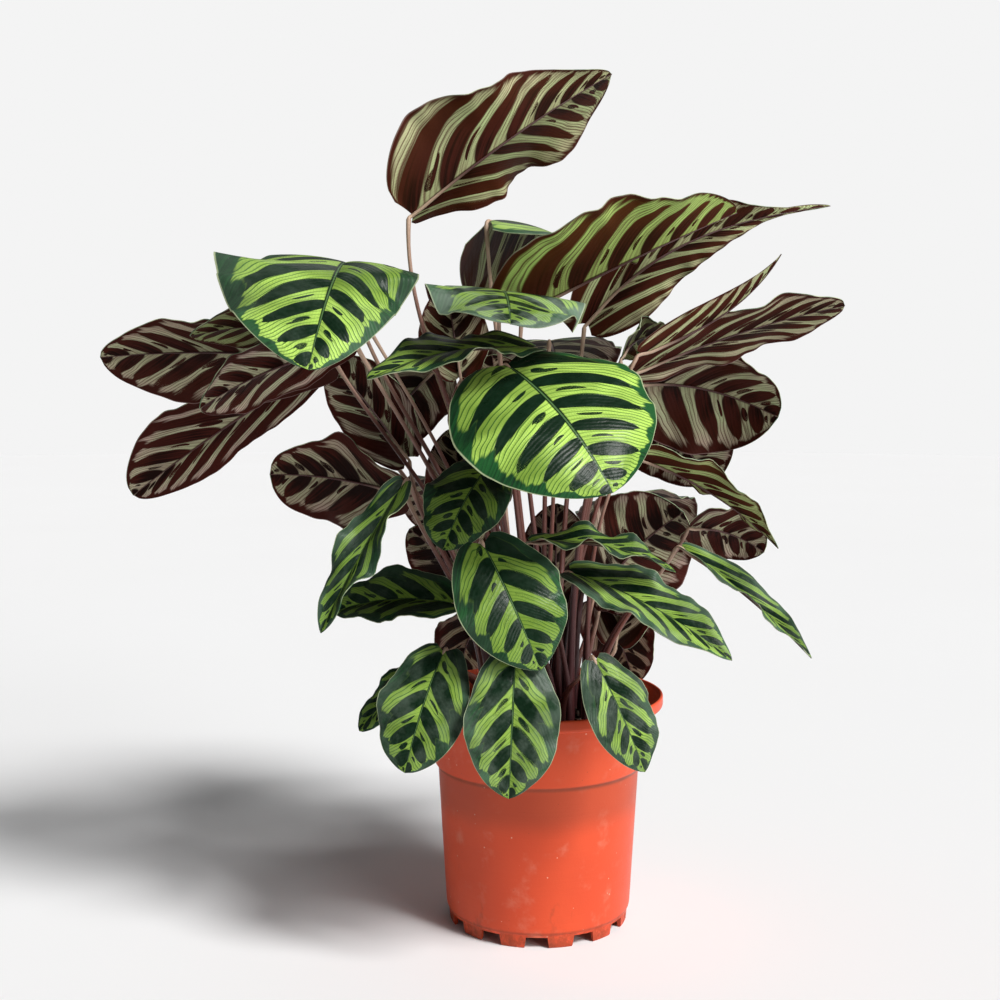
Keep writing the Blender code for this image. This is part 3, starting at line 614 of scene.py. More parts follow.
def put_pairs(obj, name, pairs):
    layers = obj.data.uv_layers
    layer = layers[name] if name in layers else layers.new(name=name)
    layer.uv.foreach_set("vector", pairs.ravel())


def shaped_grid(name, columns, rows, shape):
    """Adds a grid and puts its points where shape(across, along) says, both from 0 to 1."""
    deselect()
    bpy.ops.mesh.primitive_grid_add(x_subdivisions=columns, y_subdivisions=rows, size=1,
                                    calc_uvs=True)
    obj = bpy.context.object
    obj.name = name
    obj.data.name = name
    obj.data.uv_layers[0].name = BLADE_UV
    flat = mesh_points(obj)
    across, along = (np.clip(flat[:, k] + 0.5, 0, 1) for k in (0, 1))
    put_points(obj, to_axis(shape(across, along)))
    return obj


def tube(name, points, radii, shares, side):
    """A closed round tube along points; its ends draw in to a point."""
    points = np.vstack([points[:1], points, points[-1:]])
    radii = np.concatenate([[0], radii, [0]])
    shares = np.concatenate([shares[:1], shares, shares[-1:]])
    slopes = np.gradient(points[1:-1], axis=0)
    slopes = unit(np.vstack([slopes[:1], slopes, slopes[-1:]]))
    sideways = []
    for slope in slopes:
        side = unit(side - (side @ slope)*slope)
        sideways.append(side)
    sideways = np.array(sideways)
    upwards = np.cross(slopes, sideways)
    count = len(points) - 1

    def shape(across, along):
        k = np.rint(along*count).astype(int)
        turn = (2*np.pi*across)[:, None]
        spoke = np.cos(turn)*sideways[k] + np.sin(turn)*upwards[k]
        return points[k] + radii[k][:, None]*spoke

    obj = shaped_grid(name, STALK_SIDES, count, shape)
    pairs = map_pairs(obj)
    pairs[:, 1] = shares[np.rint(pairs[:, 1]*count).astype(int)]
    put_pairs(obj, BLADE_UV, pairs)
    merge_close(obj)
    return obj


def feed(entry, value):
    """Gives a node's socket a field, another socket, a number or a colour."""
    if isinstance(value, Field):
        value = value.socket
    if isinstance(value, bpy.types.NodeSocket):
        entry.id_data.links.new(value, entry)
    elif isinstance(value, (int, float)):
        entry.default_value = value
    else:
        entry.default_value = (*value, 1)


class Field:
    """A value that varies over a surface, written as sums and products of maths nodes."""

    def __init__(self, socket):
        self.socket = socket

    def maths(self, operation, *others):
        node = self.socket.id_data.nodes.new("ShaderNodeMath")
        node.operation = operation
        for entry, value in zip(node.inputs, (self, *others)):
            feed(entry, value)
        return Field(node.outputs[0])

    def __add__(self, other):
        return self.maths("ADD", other)

    def __sub__(self, other):
        return self.maths("SUBTRACT", other)

    def __mul__(self, other):
        return self.maths("MULTIPLY", other)

    def __truediv__(self, other):
        return self.maths("DIVIDE", other)

    def power(self, exponent):
        return self.maths("POWER", exponent)

    def away(self):
        return self.maths("ABSOLUTE")

    def wave(self, cycles):
        return (self*(2*math.pi*cycles)).maths("SINE")

    def floor(self):
        return self.maths("FLOOR")

    def highest(self, other):
        return self.maths("MAXIMUM", other)

    def rest(self):
        """One minus the value."""
        return (self*-1) + 1

    def rise(self, low, high, to_low=0, to_high=1):
        """Goes smoothly from to_low at low to to_high at high."""
        node = self.socket.id_data.nodes.new("ShaderNodeMapRange")
        node.interpolation_type = "SMOOTHSTEP"
        for key, value in (("Value", self), ("From Min", low), ("From Max", high),
                           ("To Min", to_low), ("To Max", to_high)):
            feed(node.inputs[key], value)
        return Field(node.outputs["Result"])


class Finish:
    """A material made of one Principled shader and the fields that feed it."""

    def __init__(self, name):
        self.material = bpy.data.materials.new(name)
        self.material.use_nodes = True
        self.tree = self.material.node_tree
        self.shader = self.tree.nodes["Principled BSDF"]

    def node(self, kind, entries=(), **settings):
        """Adds a node with its settings, and feeds its sockets by pairs of socket and value."""
        node = self.tree.nodes.new(kind)
        for key, value in settings.items():
            setattr(node, key, value)
        for key, value in entries:
            feed(node.inputs[key], value)
        return node

    def split(self, source, kind="XYZ"):
        """The three numbers of a vector, or with the kind Color of a colour."""
        node = self.node("ShaderNodeSeparate" + kind, [(0, source)])
        return [Field(socket) for socket in node.outputs]

    def map_place(self, name=BLADE_UV):
        """Both values of a map; the blade's own map runs across and along, each from 0 to 1."""
        return self.split(self.node("ShaderNodeUVMap", uv_map=name).outputs[0])[:2]

    def object_place(self):
        return self.node("ShaderNodeTexCoord").outputs["Object"]

    def noted(self, name):
        """The three numbers kept on an object under a name."""
        attribute = self.node("ShaderNodeAttribute", attribute_name=name)
        return self.split(attribute.outputs["Color"], "Color")

    def spot(self, *parts):
        """A vector put together from fields and numbers."""
        return self.node("ShaderNodeCombineXYZ", enumerate(parts)).outputs[0]

    def noise(self, vector, scale, detail=2, roughness=0.5):
        node = self.node("ShaderNodeTexNoise", [("Vector", vector), ("Scale", scale),
                                                ("Detail", detail), ("Roughness", roughness)])
        return Field(node.outputs["Fac"])

    def chance(self, vector):
        """Three unlike values between 0 and 1 for each whole-number place."""
        node = self.node("ShaderNodeTexWhiteNoise", [("Vector", vector)], noise_dimensions="3D")
        return self.split(node.outputs["Color"], "Color")

    def specks(self, vector, scale, size, softness, share):
        """Round spots of up to a size, scattered over a share of the cells."""
        node = self.node("ShaderNodeTexVoronoi", [("Vector", vector), ("Scale", scale)])
        pick = self.split(node.outputs["Color"], "Color")[0]
        spots = (pick*size - Field(node.outputs["Distance"])).rise(0, softness)
        return spots*pick.rise(1 - share, 1 - share + SPECK_EDGE)

    def blend(self, share, start, end):
        """A colour that goes from start to end as share goes from 0 to 1."""
        node = self.node("ShaderNodeMix", data_type="RGBA", clamp_factor=True,
                         entries=[("Factor", share), (6, start), (7, end)])
        return node.outputs[2]

    def bump(self, height, distance, strength=1):
        node = self.node("ShaderNodeBump", [("Height", height), ("Distance", distance),
                                            ("Strength", strength)])
        feed(self.shader.inputs["Normal"], node.outputs[0])

    def set(self, **values):
        """Numbers and fields for the shader's sockets, with _ for a space in their names."""
        for key, value in values.items():
            feed(self.shader.inputs[key.replace("_", " ")], value)


def peacock_pattern(finish, spread=0):
    """The leaf's pattern: dark blotches along the side veins, fine vein lines and a plain margin.

    Long blotches reach from the midrib nearly to the margin, and a short oval one sits near the
    midrib between some of them, in turn on the left and on the right. Spread makes the dark parts
    broader and their edges softer.
    """
    across, u = finish.map_place()
    seed, glow, dust = finish.noted(TRAITS)
    cycles, slope, shade = finish.noted(GROWTH)
    marked = finish.noted(MARKING)[0]
    v = across*2 - 1
    out = v.away()
    right = v.rise(-0.001, 0.001)
    place = finish.spot(v, u*3, seed*40)
    drift = finish.noise(place, scale=1.3) - 0.5
    grain = finish.noise(place, scale=8, detail=3, roughness=0.6) - 0.5

    # Where a point lies in the cycle of blotches, counted from the midrib's base
    breadth, _ = finish.map_place(BREADTH_UV)
    away = out*breadth
    vein = u - away*slope - away*away*VEIN_CURVE + drift*0.06*out
    turn = (vein*vein*CYCLE_CLOSING + vein)*cycles + right*HALF_SHIFT + seed*3 + grain*0.012
    cell = turn.floor()
    from_middle = (turn - cell - 0.5).away()
    long_chance, short_chance, shape_chance = finish.chance(finish.spot(cell, right*7, seed*50))
    line = (turn + drift*0.4).wave(LINES_IN_CYCLE)
    streak = finish.spot(turn*4, out*0.4 + right*9, seed*30)
    streak = finish.noise(streak, scale=1, detail=1) - 0.5
    strand = finish.spot(turn*13, out*1.2 + right*5, seed*20)
    strand = finish.noise(strand, scale=1, roughness=0.6) - 0.5

    reach = long_chance*0.16 + u.rise(0.35, 1, *BLOTCH_REACH) + streak*0.2 + spread*1.8
    way = (out + 0.02)/reach
    taper = way.power(0.35)*way.rest().highest(0).power(0.62)
    width = taper*(long_chance*0.13 + marked*MARKED_WIDTH + BLOTCH_WIDTH + spread*2)
    width = width + strand*(out*0.10 + 0.04) - 0.012
    soft = BLOTCH_SOFTNESS + spread*0.4
    long_blotch = (width - from_middle).rise(-soft, soft)

    oval = (out - OVAL_PLACE - shape_chance*0.06)/(shape_chance*0.08 + OVAL_LENGTH)
    oval = oval.power(2).rest().highest(0).power(0.5)
    oval = oval*(short_chance*0.10 + OVAL_WIDTH + spread*0.4)
    from_oval = from_middle*-1 + 0.5
    short_blotch = (oval + grain*0.03 - from_oval).rise(-0.012, 0.012)
    short_blotch = short_blotch*short_chance.rise(OVALS_FROM, OVALS_FROM + 0.05)

    rim = out + streak*0.30 + drift*0.16 + u.rise(0.84, 1)*0.10 + u.rise(0, 0.16, 1, 0)*0.12
    rim = rim + marked*MARKED_MARGIN
    notches = marked*MARKED_NOTCH + MARGIN_NOTCH - spread*2.7
    margin = (rim - from_middle*notches).rise(
        MARGIN_PLACE + spread*1.2, MARGIN_PLACE + MARGIN_SOFTNESS + spread*2.2)

    foot = (u + out*0.1 + drift*0.1).rise(0, 0.05, 1, 0)*0.8
    return SimpleNamespace(
        out=out, place=place, glow=glow, dust=dust, shade=shade, marked=marked, drift=drift,
        grain=grain, strand=strand, line=line, margin=margin,
        blotch=long_blotch.highest(short_blotch).highest(foot),
        lines=line.rise(0.50, 0.95)*(out + streak*0.5).rise(0.05, 0.45, 0.55, 1),
        rungs=(out*breadth + strand*0.03).wave(RUNGS_ACROSS).rise(0.2, 0.9),
        trunk=(out + u*0.010).rise(*TRUNK_LINE, 1, 0),
        middle=out.rise(*MIDDLE_LINE, 1, 0),
        edge=out.rise(*EDGE_LINE))


def leaf_upper_finish(look):
    """Lime with blue-green blotches, as on the leaf's upper side."""
    finish = Finish("leaf_upper")
    leaf = peacock_pattern(finish)
    lime = finish.blend((leaf.drift + 0.5).rise(0.25, 0.75), look.lime, look.lime_deep)
    # Painted shade: a leaf's shade turns its lime towards the deep lime
    lime = finish.blend(leaf.shade, lime, look.lime_deep)
    lime = finish.blend(leaf.lines*0.9, lime, look.vein_green)
    fine = (leaf.strand + 0.5).rise(0.45, 0.75, 0, 0.5) + leaf.rungs*0.22
    lime = finish.blend(fine, lime, look.lime_deep)
    mottle = leaf.strand + leaf.drift + leaf.marked*MARKED_BLOOM + 0.5
    rim = finish.blend(mottle.rise(0.35, 0.75, 0, 0.85), look.margin_green, look.blotch_bloom)
    colour = finish.blend(leaf.margin, lime, rim)
    dark = finish.blend((leaf.grain + 0.5).rise(0.3, 0.8), look.blotch_green, look.blotch_bloom)
    colour = finish.blend(leaf.blotch*leaf.margin.rise(0, 1, 1, 0.45), colour, dark)
    colour = finish.blend(leaf.trunk, colour, look.blotch_green)
    colour = finish.blend(leaf.middle*0.8, colour, look.midrib_green)
    colour = finish.blend(leaf.edge*0.75, colour, look.edge_pale)
    # Grey bloom and painted sheen, as strong as the leaf's dust; it also roughens the surface
    bloom = finish.noise(leaf.place, scale=2.2, detail=4, roughness=0.65)
    bloom = leaf.dust*(bloom + leaf.out*0.25).rise(0.45, 0.85)
    colour = finish.blend(bloom*0.7, colour, look.bloom)
    finish.set(Base_Color=colour, Roughness=(leaf.grain + 0.5)*0.18 + 0.21 + bloom*0.3,
               Specular_IOR_Level=0.12)
    finish.bump(leaf.line*0.12 + leaf.grain - leaf.blotch*0.3, distance=0.0004, strength=0.7)
    return finish.material


def leaf_under_finish(look):
    """The same pattern in maroon and grey-green, as on the leaf's under side."""
    finish = Finish("leaf_under")
    leaf = peacock_pattern(finish, UNDER_SPREAD)
    pinkness = (leaf.drift + 0.5).rise(0.3, 0.7, 0, 0.6) + leaf.out.rise(0.5, 0.95, 0, 0.6)
    pale = finish.blend(pinkness, look.under_pale, look.under_pink)
    pale = finish.blend(leaf.glow, pale, look.backlit)
    fine = (leaf.strand + 0.5).rise(0.45, 0.75, 0, 0.75) + leaf.rungs*0.12
    # Pale parts darken by vein lines, streaks, shade as painted shade, and towards the midrib
    for share in (leaf.lines*0.8, fine, leaf.shade*0.75, leaf.out.rise(0, 0.4, 0.35, 0)):
        pale = finish.blend(share, pale, look.under_vein)
    # Dark parts deepen with noise, with shade as painted shade, and towards the midrib
    depth = leaf.strand + leaf.drift + leaf.shade*0.5 + leaf.out.rise(0, 0.7, 0.55, 0.25)
    dark = finish.blend(depth.rise(0.3, 0.7), look.maroon, look.maroon_deep)
    shining = leaf.glow*leaf.out.rise(0.1, 0.9, 0.2, 0.9)
    dark = finish.blend(shining, dark, look.backlit_brown)
    rim = finish.blend(leaf.glow*0.45, look.maroon, look.backlit_brown)
    colour = finish.blend(leaf.blotch, pale, dark)
    colour = finish.blend(leaf.margin, colour, rim)
    colour = finish.blend(leaf.trunk*0.8, colour, dark)
    colour = finish.blend(leaf.edge*0.3, colour, look.under_pink)
    finish.set(Base_Color=colour, Roughness=(leaf.grain + 0.5)*0.25 + 0.38,
               Specular_IOR_Level=0.05)
    finish.bump(leaf.line*-0.15 + leaf.grain, distance=0.0004, strength=0.7)
    return finish.material


def leaf_edge_finish(look):
    """The cut edge of the blade, pale and green by turns."""
    finish = Finish("leaf_edge")
    _, u = finish.map_place()
    patchy = finish.noise(finish.object_place(), scale=90, detail=3)
    colour = finish.blend(patchy.rise(0.35, 0.65), look.edge_pale, look.margin_green)
    finish.set(Base_Color=colour, Roughness=u*0.05 + 0.5)
    return finish.material


def stalk_finish(look):
    """Maroon near the soil, pink and cream near the blade, and red-brown along the midrib."""
    finish = Finish("stalk")
    across, way = finish.map_place()
    seed = finish.noted(TRAITS)[0]
    turn = across*(2*math.pi)
    x, y = turn.maths("COSINE"), turn.maths("SINE")
    streaks = finish.noise(finish.spot(x, y, way*3 + seed*30), scale=2.5, detail=4, roughness=0.6)
    fine = finish.noise(finish.spot(x*6, y*6, way*9), scale=3, detail=3)
    height = way + (streaks - 0.5)*0.3 + (seed - 0.5)*0.2
    # Darker towards the soil: the stalk's own maroon, and in part painted shade under the leaves
    colour = finish.blend(height.rise(0.05, 0.36), look.stalk_low, look.stalk_middle)
    colour = finish.blend(height.rise(0.38, 0.66), colour, look.stalk_high)
    colour = finish.blend(way.rise(STALK_SHARE, STALK_SHARE + 0.09), colour, look.rib)
    colour = finish.blend(fine.rise(0.55, 0.75)*0.35, colour, look.stalk_low)
    finish.set(Base_Color=colour, Roughness=fine*0.2 + 0.32, Specular_IOR_Level=0.5)
    finish.bump(fine, distance=0.0003, strength=0.6)
    return finish.material


def pot_finish(look):
    """Moulded plastic: an even satin skin with specks, faint rings, dusty patches and dirt, and
    painted shade in the grooves of its moulded rings.
    """
    finish = Finish("pot_plastic")
    place = finish.object_place()
    x, y, z = finish.split(place)
    x, y = x - float(POT_AXIS[0]), y - float(POT_AXIS[1])
    radius = (x*x + y*y).power(0.5)
    broad = finish.noise(place, scale=14, detail=3)
    fine = finish.noise(place, scale=900, detail=3, roughness=0.6)
    cloud = finish.noise(place, scale=55, detail=4, roughness=0.6)
    rings = finish.noise(finish.spot(x*2, y*2, z*260), scale=3)
    colour = finish.blend(broad.rise(0.35, 0.65), look.plastic, look.plastic_deep)
    colour = finish.blend(cloud.rise(0.55, 0.8)*0.22, colour, look.dust)
    speck = finish.specks(place, scale=170, size=0.11, softness=0.025, share=0.28)
    colour = finish.blend(speck*0.75, colour, look.dust)

    # Dirt: flecks, grime above the feet, splashes and inside the wall. The grooves of the two
    # moulded rings are darkened with the same colour, as dirt and painted shade.
    fleck = finish.specks(place, scale=320, size=0.10, softness=0.03, share=0.20)
    low = z.rise(0.004, 0.016, 1, 0)
    grime = finish.noise(place, scale=160, detail=5, roughness=0.7)
    grime = (grime + low*0.2).rise(0.55, 0.75)*low
    splash = finish.noise(finish.spot(x, y, z*0.5), scale=60, detail=4, roughness=0.6)
    splash = (splash + low*0.1).rise(0.62, 0.74)*z.rise(0.01, 0.07, 0.4, 0)
    inner = (radius*-1 + z*0.113 + 0.0585).rise(0, 0.001)*z.rise(0.14, 0.15, 1, 0.35)
    # Dirt and painted shade in the grooves of the shoulder ring and, fainter, of the foot ring
    ring = z.rise(0.1055, 0.1078)*z.rise(0.1086, 0.1105, 1, 0)
    ring = ring.highest(z.rise(0.0088, 0.0098)*z.rise(0.0102, 0.0116, 1, 0)*0.6)
    for share in (fleck*0.6, grime*0.5, splash, inner*0.35, ring*(cloud*0.5 + 0.35)):
        colour = finish.blend(share, colour, look.dirt)
    finish.set(Base_Color=colour, Roughness=cloud*0.22 + 0.30 + speck*0.2 + grime*0.3,
               Specular_IOR_Level=0.24)
    relief = fine*0.5 + rings*0.6 + cloud*0.5 + speck*0.6 + grime
    finish.bump(relief, distance=0.00018, strength=0.7)
    return finish.material


def soil_finish(look):
    """Dark moist peat with lighter fibres and a few pale grains."""
    finish = Finish("soil_peat")
    place = finish.object_place()
    x, y, z = finish.split(place)
    lumps = finish.noise(place, scale=130, detail=6, roughness=0.7)
    fibres = finish.noise(finish.spot(x, y*0.25, z), scale=420, detail=4)
    grain = finish.specks(place, scale=260, size=0.14, softness=0.04, share=0.12)
    colour = finish.blend(lumps.rise(0.35, 0.7), look.peat, look.peat_dry)
    colour = finish.blend(fibres.rise(0.62, 0.75)*0.6, colour, look.fibre)
    colour = finish.blend(grain*0.8, colour, look.grit)
    finish.set(Base_Color=colour, Roughness=lumps*0.2 + 0.72, Specular_IOR_Level=0.3)
    finish.bump(lumps + fibres*0.4 + grain*0.4, distance=0.0016)
    return finish.material


def floor_finish(look):
    """A plain matt floor with a hardly visible mottle."""
    finish = Finish("studio_floor")
    mottle = finish.noise(finish.object_place(), scale=1.5, detail=3)
    finish.set(Base_Color=finish.blend(mottle*0.12, look.floor, FLOOR_MOTTLE), Roughness=0.9,
               Specular_IOR_Level=0)
    return finish.material


def paint(obj, materials):
    for material in materials:
        obj.data.materials.append(material)


def stand_for(obj, node):
    """Hangs a piece on the frame in place of its CAD node."""
    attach(obj, BODY)
    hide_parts(node)


def note(obj, name, values):
    """Keeps three numbers on every point of an object, for its materials."""
    attribute = obj.data.attributes.new(name, "FLOAT_COLOR", "POINT")
    rows = np.tile([*values, 1], (len(obj.data.vertices), 1))
    attribute.data.foreach_set("color", rows.astype(np.float32).ravel())


def row_place(share):
    """Place along the blade of a grid's row; the rows lie closer near the stalk and the tip."""
    return share - ROW_EASING*np.sin(2*np.pi*share)


def build_blade(name, leaf, look, materials):
    """The blade's wall with its two sides and its edge, and maps along and across it."""
    fewest, most = ROW_RANGE
    rows = max(fewest, min(most, round(blade_length(leaf)/ROW_LENGTH)))
    columns = BROAD_COLUMNS if leaf.half > BROAD_BLADE else NARROW_COLUMNS

    def shape(across, along):
        return blade_surface(leaf, np.minimum(row_place(along), 1), 2*across - 1)

    blade = shaped_grid(name, columns, rows, shape)
    pairs = map_pairs(blade)
    pairs[:, 1] = row_place(pairs[:, 1])
    put_pairs(blade, BLADE_UV, pairs)
    pairs[:, 0] = half_width(leaf, pairs[:, 1])/leaf.half
    put_pairs(blade, BREADTH_UV, pairs)
    merge_close(blade)
    paint(blade, materials)
    wall = blade.modifiers.new("wall", "SOLIDIFY")
    wall.thickness = look.blade_thickness
    wall.offset = 0
    wall.material_offset = 1
    wall.material_offset_rim = 2
    apply_modifier(blade, wall)
    return blade


def build_leaf(number, leaf, look, materials):
    """A blade with its two sides and rim, and one tube for the stalk and the midrib under it."""
    name = f"plant_leaf_{number:02d}"
    blade = build_blade(name, leaf, look, materials[:3])
    radii = THICK_STALK if leaf.half > BROAD_BLADE else THIN_STALK
    stalk = tube(name + "_stalk", *stalk_line(leaf, radii))
    paint(stalk, materials[3:])
    obj = join([blade, stalk], name)
    stand_for(obj, f"leaf_{number:02d}")
    seed = (number*GOLDEN_SHARE) % 1
    cycles = (FEWEST_BLOTCHES + blade_length(leaf)/BLOTCH_SPACING)/(1 + CYCLE_CLOSING)
    cycles *= 1 - MARKED_SPACING*leaf.marked
    note(obj, TRAITS, (seed, leaf.glow, leaf.dust))
    note(obj, GROWTH, (cycles, vein_slope(leaf), leaf.shade))
    note(obj, MARKING, (leaf.marked, 0, 0))
    smooth(obj, LEAF_SMOOTHING)


def rounded(profile):
    """The profile with each corner cut twice, so that it turns smoothly."""
    points = [np.array(p, float) for p in profile]
    for reach in CORNER_CUTS:
        turned = [points[0]]
        for before, corner, after in zip(points, points[1:], points[2:]):
            for end in (before, after):
                way = end - corner
                turned.append(corner + unit(way)*min(reach, LONGEST_CUT*np.linalg.norm(way)))
        points = turned + [points[-1]]
    return np.array(points)


def turned_body(name, profile, steps):
    """A body turned from a profile of (radius, height) points, by way of a grid."""
    count = len(profile) - 1

    def shape(across, along):
        radius, height = profile[np.rint(along*count).astype(int)].T
        turn = 2*np.pi*across
        return np.stack([radius*np.cos(turn), radius*np.sin(turn), height], 1)

    obj = shaped_grid(name, steps, count, shape)
    merge_close(obj)
    turn_outwards(obj)
    return obj


def cut_out(obj, cutters):
    """Takes the cutters out of obj and removes them."""
    tool = join(cutters, obj.name + "_cutters")
    boolean = obj.modifiers.new("cut", "BOOLEAN")
    boolean.operation = "DIFFERENCE"
    boolean.solver = "EXACT"
    boolean.use_self = False
    boolean.object = tool
    apply_modifier(obj, boolean)
    mesh = tool.data
    bpy.data.objects.remove(tool)
    bpy.data.meshes.remove(mesh)


def notch_cutter(turn):
    """A wedge that leaves a gap between two feet, wider at the floor."""
    deselect()
    bpy.ops.mesh.primitive_cube_add(size=1)
    obj = bpy.context.object
    out, across, level = mesh_points(obj).T
    upper = level > 0
    radial = NOTCH_RADIUS + out*NOTCH_DEPTH*2
    side = across*np.where(upper, NOTCH_TOP_WIDTH, NOTCH_BOTTOM_WIDTH)
    turned = np.stack([radial*math.sin(turn) + side*math.cos(turn),
                       -radial*math.cos(turn) + side*math.sin(turn),
                       np.where(upper, NOTCH_HEIGHT, -NOTCH_DROP)], 1)
    put_points(obj, to_axis(turned))
    turn_outwards(obj)
    return obj


def drain_cutter(turn):
    deselect()
    middle = np.array([DRAIN_CIRCLE*math.cos(turn), DRAIN_CIRCLE*math.sin(turn), DRAIN_MIDDLE])
    bpy.ops.mesh.primitive_cylinder_add(vertices=DRAIN_STEPS, radius=DRAIN_RADIUS,
                                        depth=DRAIN_DEPTH, location=to_axis(middle))
    obj = bpy.context.object
    place_mesh(obj)
    turn_outwards(obj)
    return obj


def build_pot(look):
    """The turned pot with the gaps between its feet and its drainage holes cut out."""
    pot = turned_body("plant_pot", rounded(POT_PROFILE), look.steps)
    step = 2*math.pi/FOOT_COUNT
    cutters = [notch_cutter(FIRST_FOOT + step/2 + step*k) for k in range(FOOT_COUNT)]
    cutters += [drain_cutter(2*math.pi*k/DRAIN_COUNT) for k in range(DRAIN_COUNT)]
    cut_out(pot, cutters)
    paint(pot, [pot_finish(look)])
    stand_for(pot, "pot")
    smooth(pot, POT_SMOOTHING)


def soil_height(x, y):
    """Low mounds and hollows of the soil's top, before its crumbs."""
    swell = (np.sin(95*x + 1)*np.cos(80*y - 0.5) + 0.6*np.sin(210*x - 90*y)
             + 0.45*np.cos(160*x + 260*y) + 0.3*np.sin(520*x + 3)*np.sin(470*y + 1))
    return SOIL_TOP + MOUND_HEIGHT*swell


def crumb_kinds(rng):
    """A few dented and stretched balls, each with the places of its points."""
    kinds = []
    for kind in range(CRUMB_KINDS):
        deselect()
        fineness = 2 if kind < FINE_KINDS else 1
        bpy.ops.mesh.primitive_ico_sphere_add(subdivisions=fineness, radius=1)
        ball = bpy.context.object
        form = mesh_points(ball)
        form = form*(1 + rng.uniform(-CRUMB_DENTS, CRUMB_DENTS, (len(form), 1)))
        kinds.append((ball, form*rng.uniform(*CRUMB_STRETCH, 3)))
    return kinds


def scatter_crumbs(rng, count):
    """Copies of the kinds of crumbs, each turned, sized and laid on the soil by chance."""
    kinds = crumb_kinds(rng)
    crumbs = []
    for number in range(count):
        source, form = kinds[number % len(kinds)]
        reach = (SOIL_RADIUS - SOIL_INSET)*math.sqrt(rng.uniform(0, 1))
        turn, size = rng.uniform(0, 2*math.pi), rng.uniform(*CRUMB_RADII)
        axes = np.linalg.qr(rng.normal(size=(3, 3)))[0]
        axes = axes*np.sign(np.linalg.det(axes))
        x, y = reach*math.cos(turn), reach*math.sin(turn)
        centre = np.array([x, y, soil_height(x, y) + size*CRUMB_LIFT])
        crumb = source.copy()
        crumb.data = source.data.copy()
        bpy.context.collection.objects.link(crumb)
        put_points(crumb, to_axis(form*size @ axes.T + centre))
        crumbs.append(crumb)
    for source, _ in kinds:
        bpy.data.objects.remove(source)
    return crumbs


def build_soil(look):
    """The soil's body with its uneven top, and crumbs of peat and bark lying on it."""
    top = [[share*SOIL_RADIUS, SOIL_TOP] for share in np.linspace(0, 1, SOIL_RINGS)]
    profile = np.array(top + [[SOIL_RADIUS - SOIL_INSET, SOIL_FOOT], [0, SOIL_FOOT]])
    soil = turned_body("plant_soil", profile, SOIL_STEPS)
    points = mesh_points(soil)
    x, y, z = (points - POT_AXIS).T
    upper = z > SOIL_TOP - SOIL_SKIN
    points[upper, 2] = soil_height(x, y)[upper]
    put_points(soil, points)
    crumbs = scatter_crumbs(np.random.default_rng(look.seed), look.crumbs)
    soil = join([soil, *crumbs], "plant_soil")
    paint(soil, [soil_finish(look)])
    stand_for(soil, "soil")
    smooth(soil, SOIL_SMOOTHING)


LEAF_COLOURS = {
    "lime": ("Lime", "Light areas of the upper side", (0.49, 0.75, 0.14)),
    "lime_deep": ("Deep lime", "Shaded light areas of the upper side", (0.15, 0.25, 0.035)),
    "vein_green": ("Vein green", "Fine vein lines of the upper side", (0.022, 0.090, 0.014)),
    "margin_green": ("Margin green", "Band along the edge", (0.016, 0.085, 0.024)),
    "blotch_green": ("Blotch green", "Dark blotches of the upper side", (0.004, 0.015, 0.006)),
    "blotch_bloom": ("Blotch bloom", "Paler grain in the blotches", (0.008, 0.024, 0.012)),
    "midrib_green": ("Midrib green", "Midrib on the upper side", (0.10, 0.20, 0.07)),
    "edge_pale": ("Pale edge", "Thin line along the edge", (0.42, 0.47, 0.28)),
    # Bloom also paints the sheen on leaves with dust
    "bloom": ("Bloom", "Grey bloom on some leaves", (0.30, 0.38, 0.31)),
    "under_pale": ("Grey-green", "Light areas of the under side", (0.44, 0.48, 0.31)),
    "under_pink": ("Pinkish grey", "Rosy light areas of the under side", (0.46, 0.32, 0.30)),
    "under_vein": ("Under vein", "Fine vein lines of the under side", (0.09, 0.040, 0.026)),
    "maroon": ("Maroon", "Blotches of the under side", (0.040, 0.007, 0.005)),
    "maroon_deep": ("Deep maroon", "Darkest blotches of the under side", (0.007, 0.0015, 0.001)),
    "backlit": ("Backlit lime", "Light areas where light shines through", (0.40, 0.60, 0.14)),
    "backlit_brown": ("Backlit brown", "Blotches where light shines through", (0.09, 0.030, 0.006)),
    "stalk_low": ("Low stalk", "Stalk near the soil", (0.045, 0.010, 0.011)),
    "stalk_middle": ("Middle stalk", "Stalk half way up", (0.15, 0.048, 0.034)),
    "stalk_high": ("High stalk", "Stalk near the blade", (0.50, 0.35, 0.25)),
    "rib": ("Rib", "Midrib on the under side", (0.060, 0.016, 0.014)),
}
POT_COLOURS = {
    "plastic": ("Plastic", "Main colour of the pot", (0.70, 0.088, 0.030)),
    "plastic_deep": ("Deep plastic", "Darker cast of the pot", (0.62, 0.072, 0.025)),
    "dust": ("Dust", "Pale specks and dusty areas", (0.75, 0.42, 0.30)),
    # The dirt colour also paints shade into the grooves of the pot's moulded rings
    "dirt": ("Dirt", "Soil on the pot", (0.16, 0.045, 0.022)),
}
SOIL_COLOURS = {
    "peat": ("Peat", "Moist peat", (0.022, 0.013, 0.009)),
    "peat_dry": ("Dry peat", "Drier crumbs", (0.060, 0.036, 0.023)),
    "fibre": ("Fibre", "Fibres in the peat", (0.12, 0.070, 0.040)),
    "grit": ("Grit", "Pale grains", (0.38, 0.34, 0.29)),
}
STUDIO_COLOURS = {
    "floor": ("Floor", "Colour of the floor", (0.892, 0.903, 0.921)),
}


def with_colours(colours):
    """Adds a table of colours to a group of settings."""
    def add(group):
        for key, (name, description, default) in colours.items():
            group.__annotations__[key] = FloatVectorProperty(
                name=name, description=description, default=default, size=3, min=0, max=1,
                subtype="COLOR")
        return group
    return add


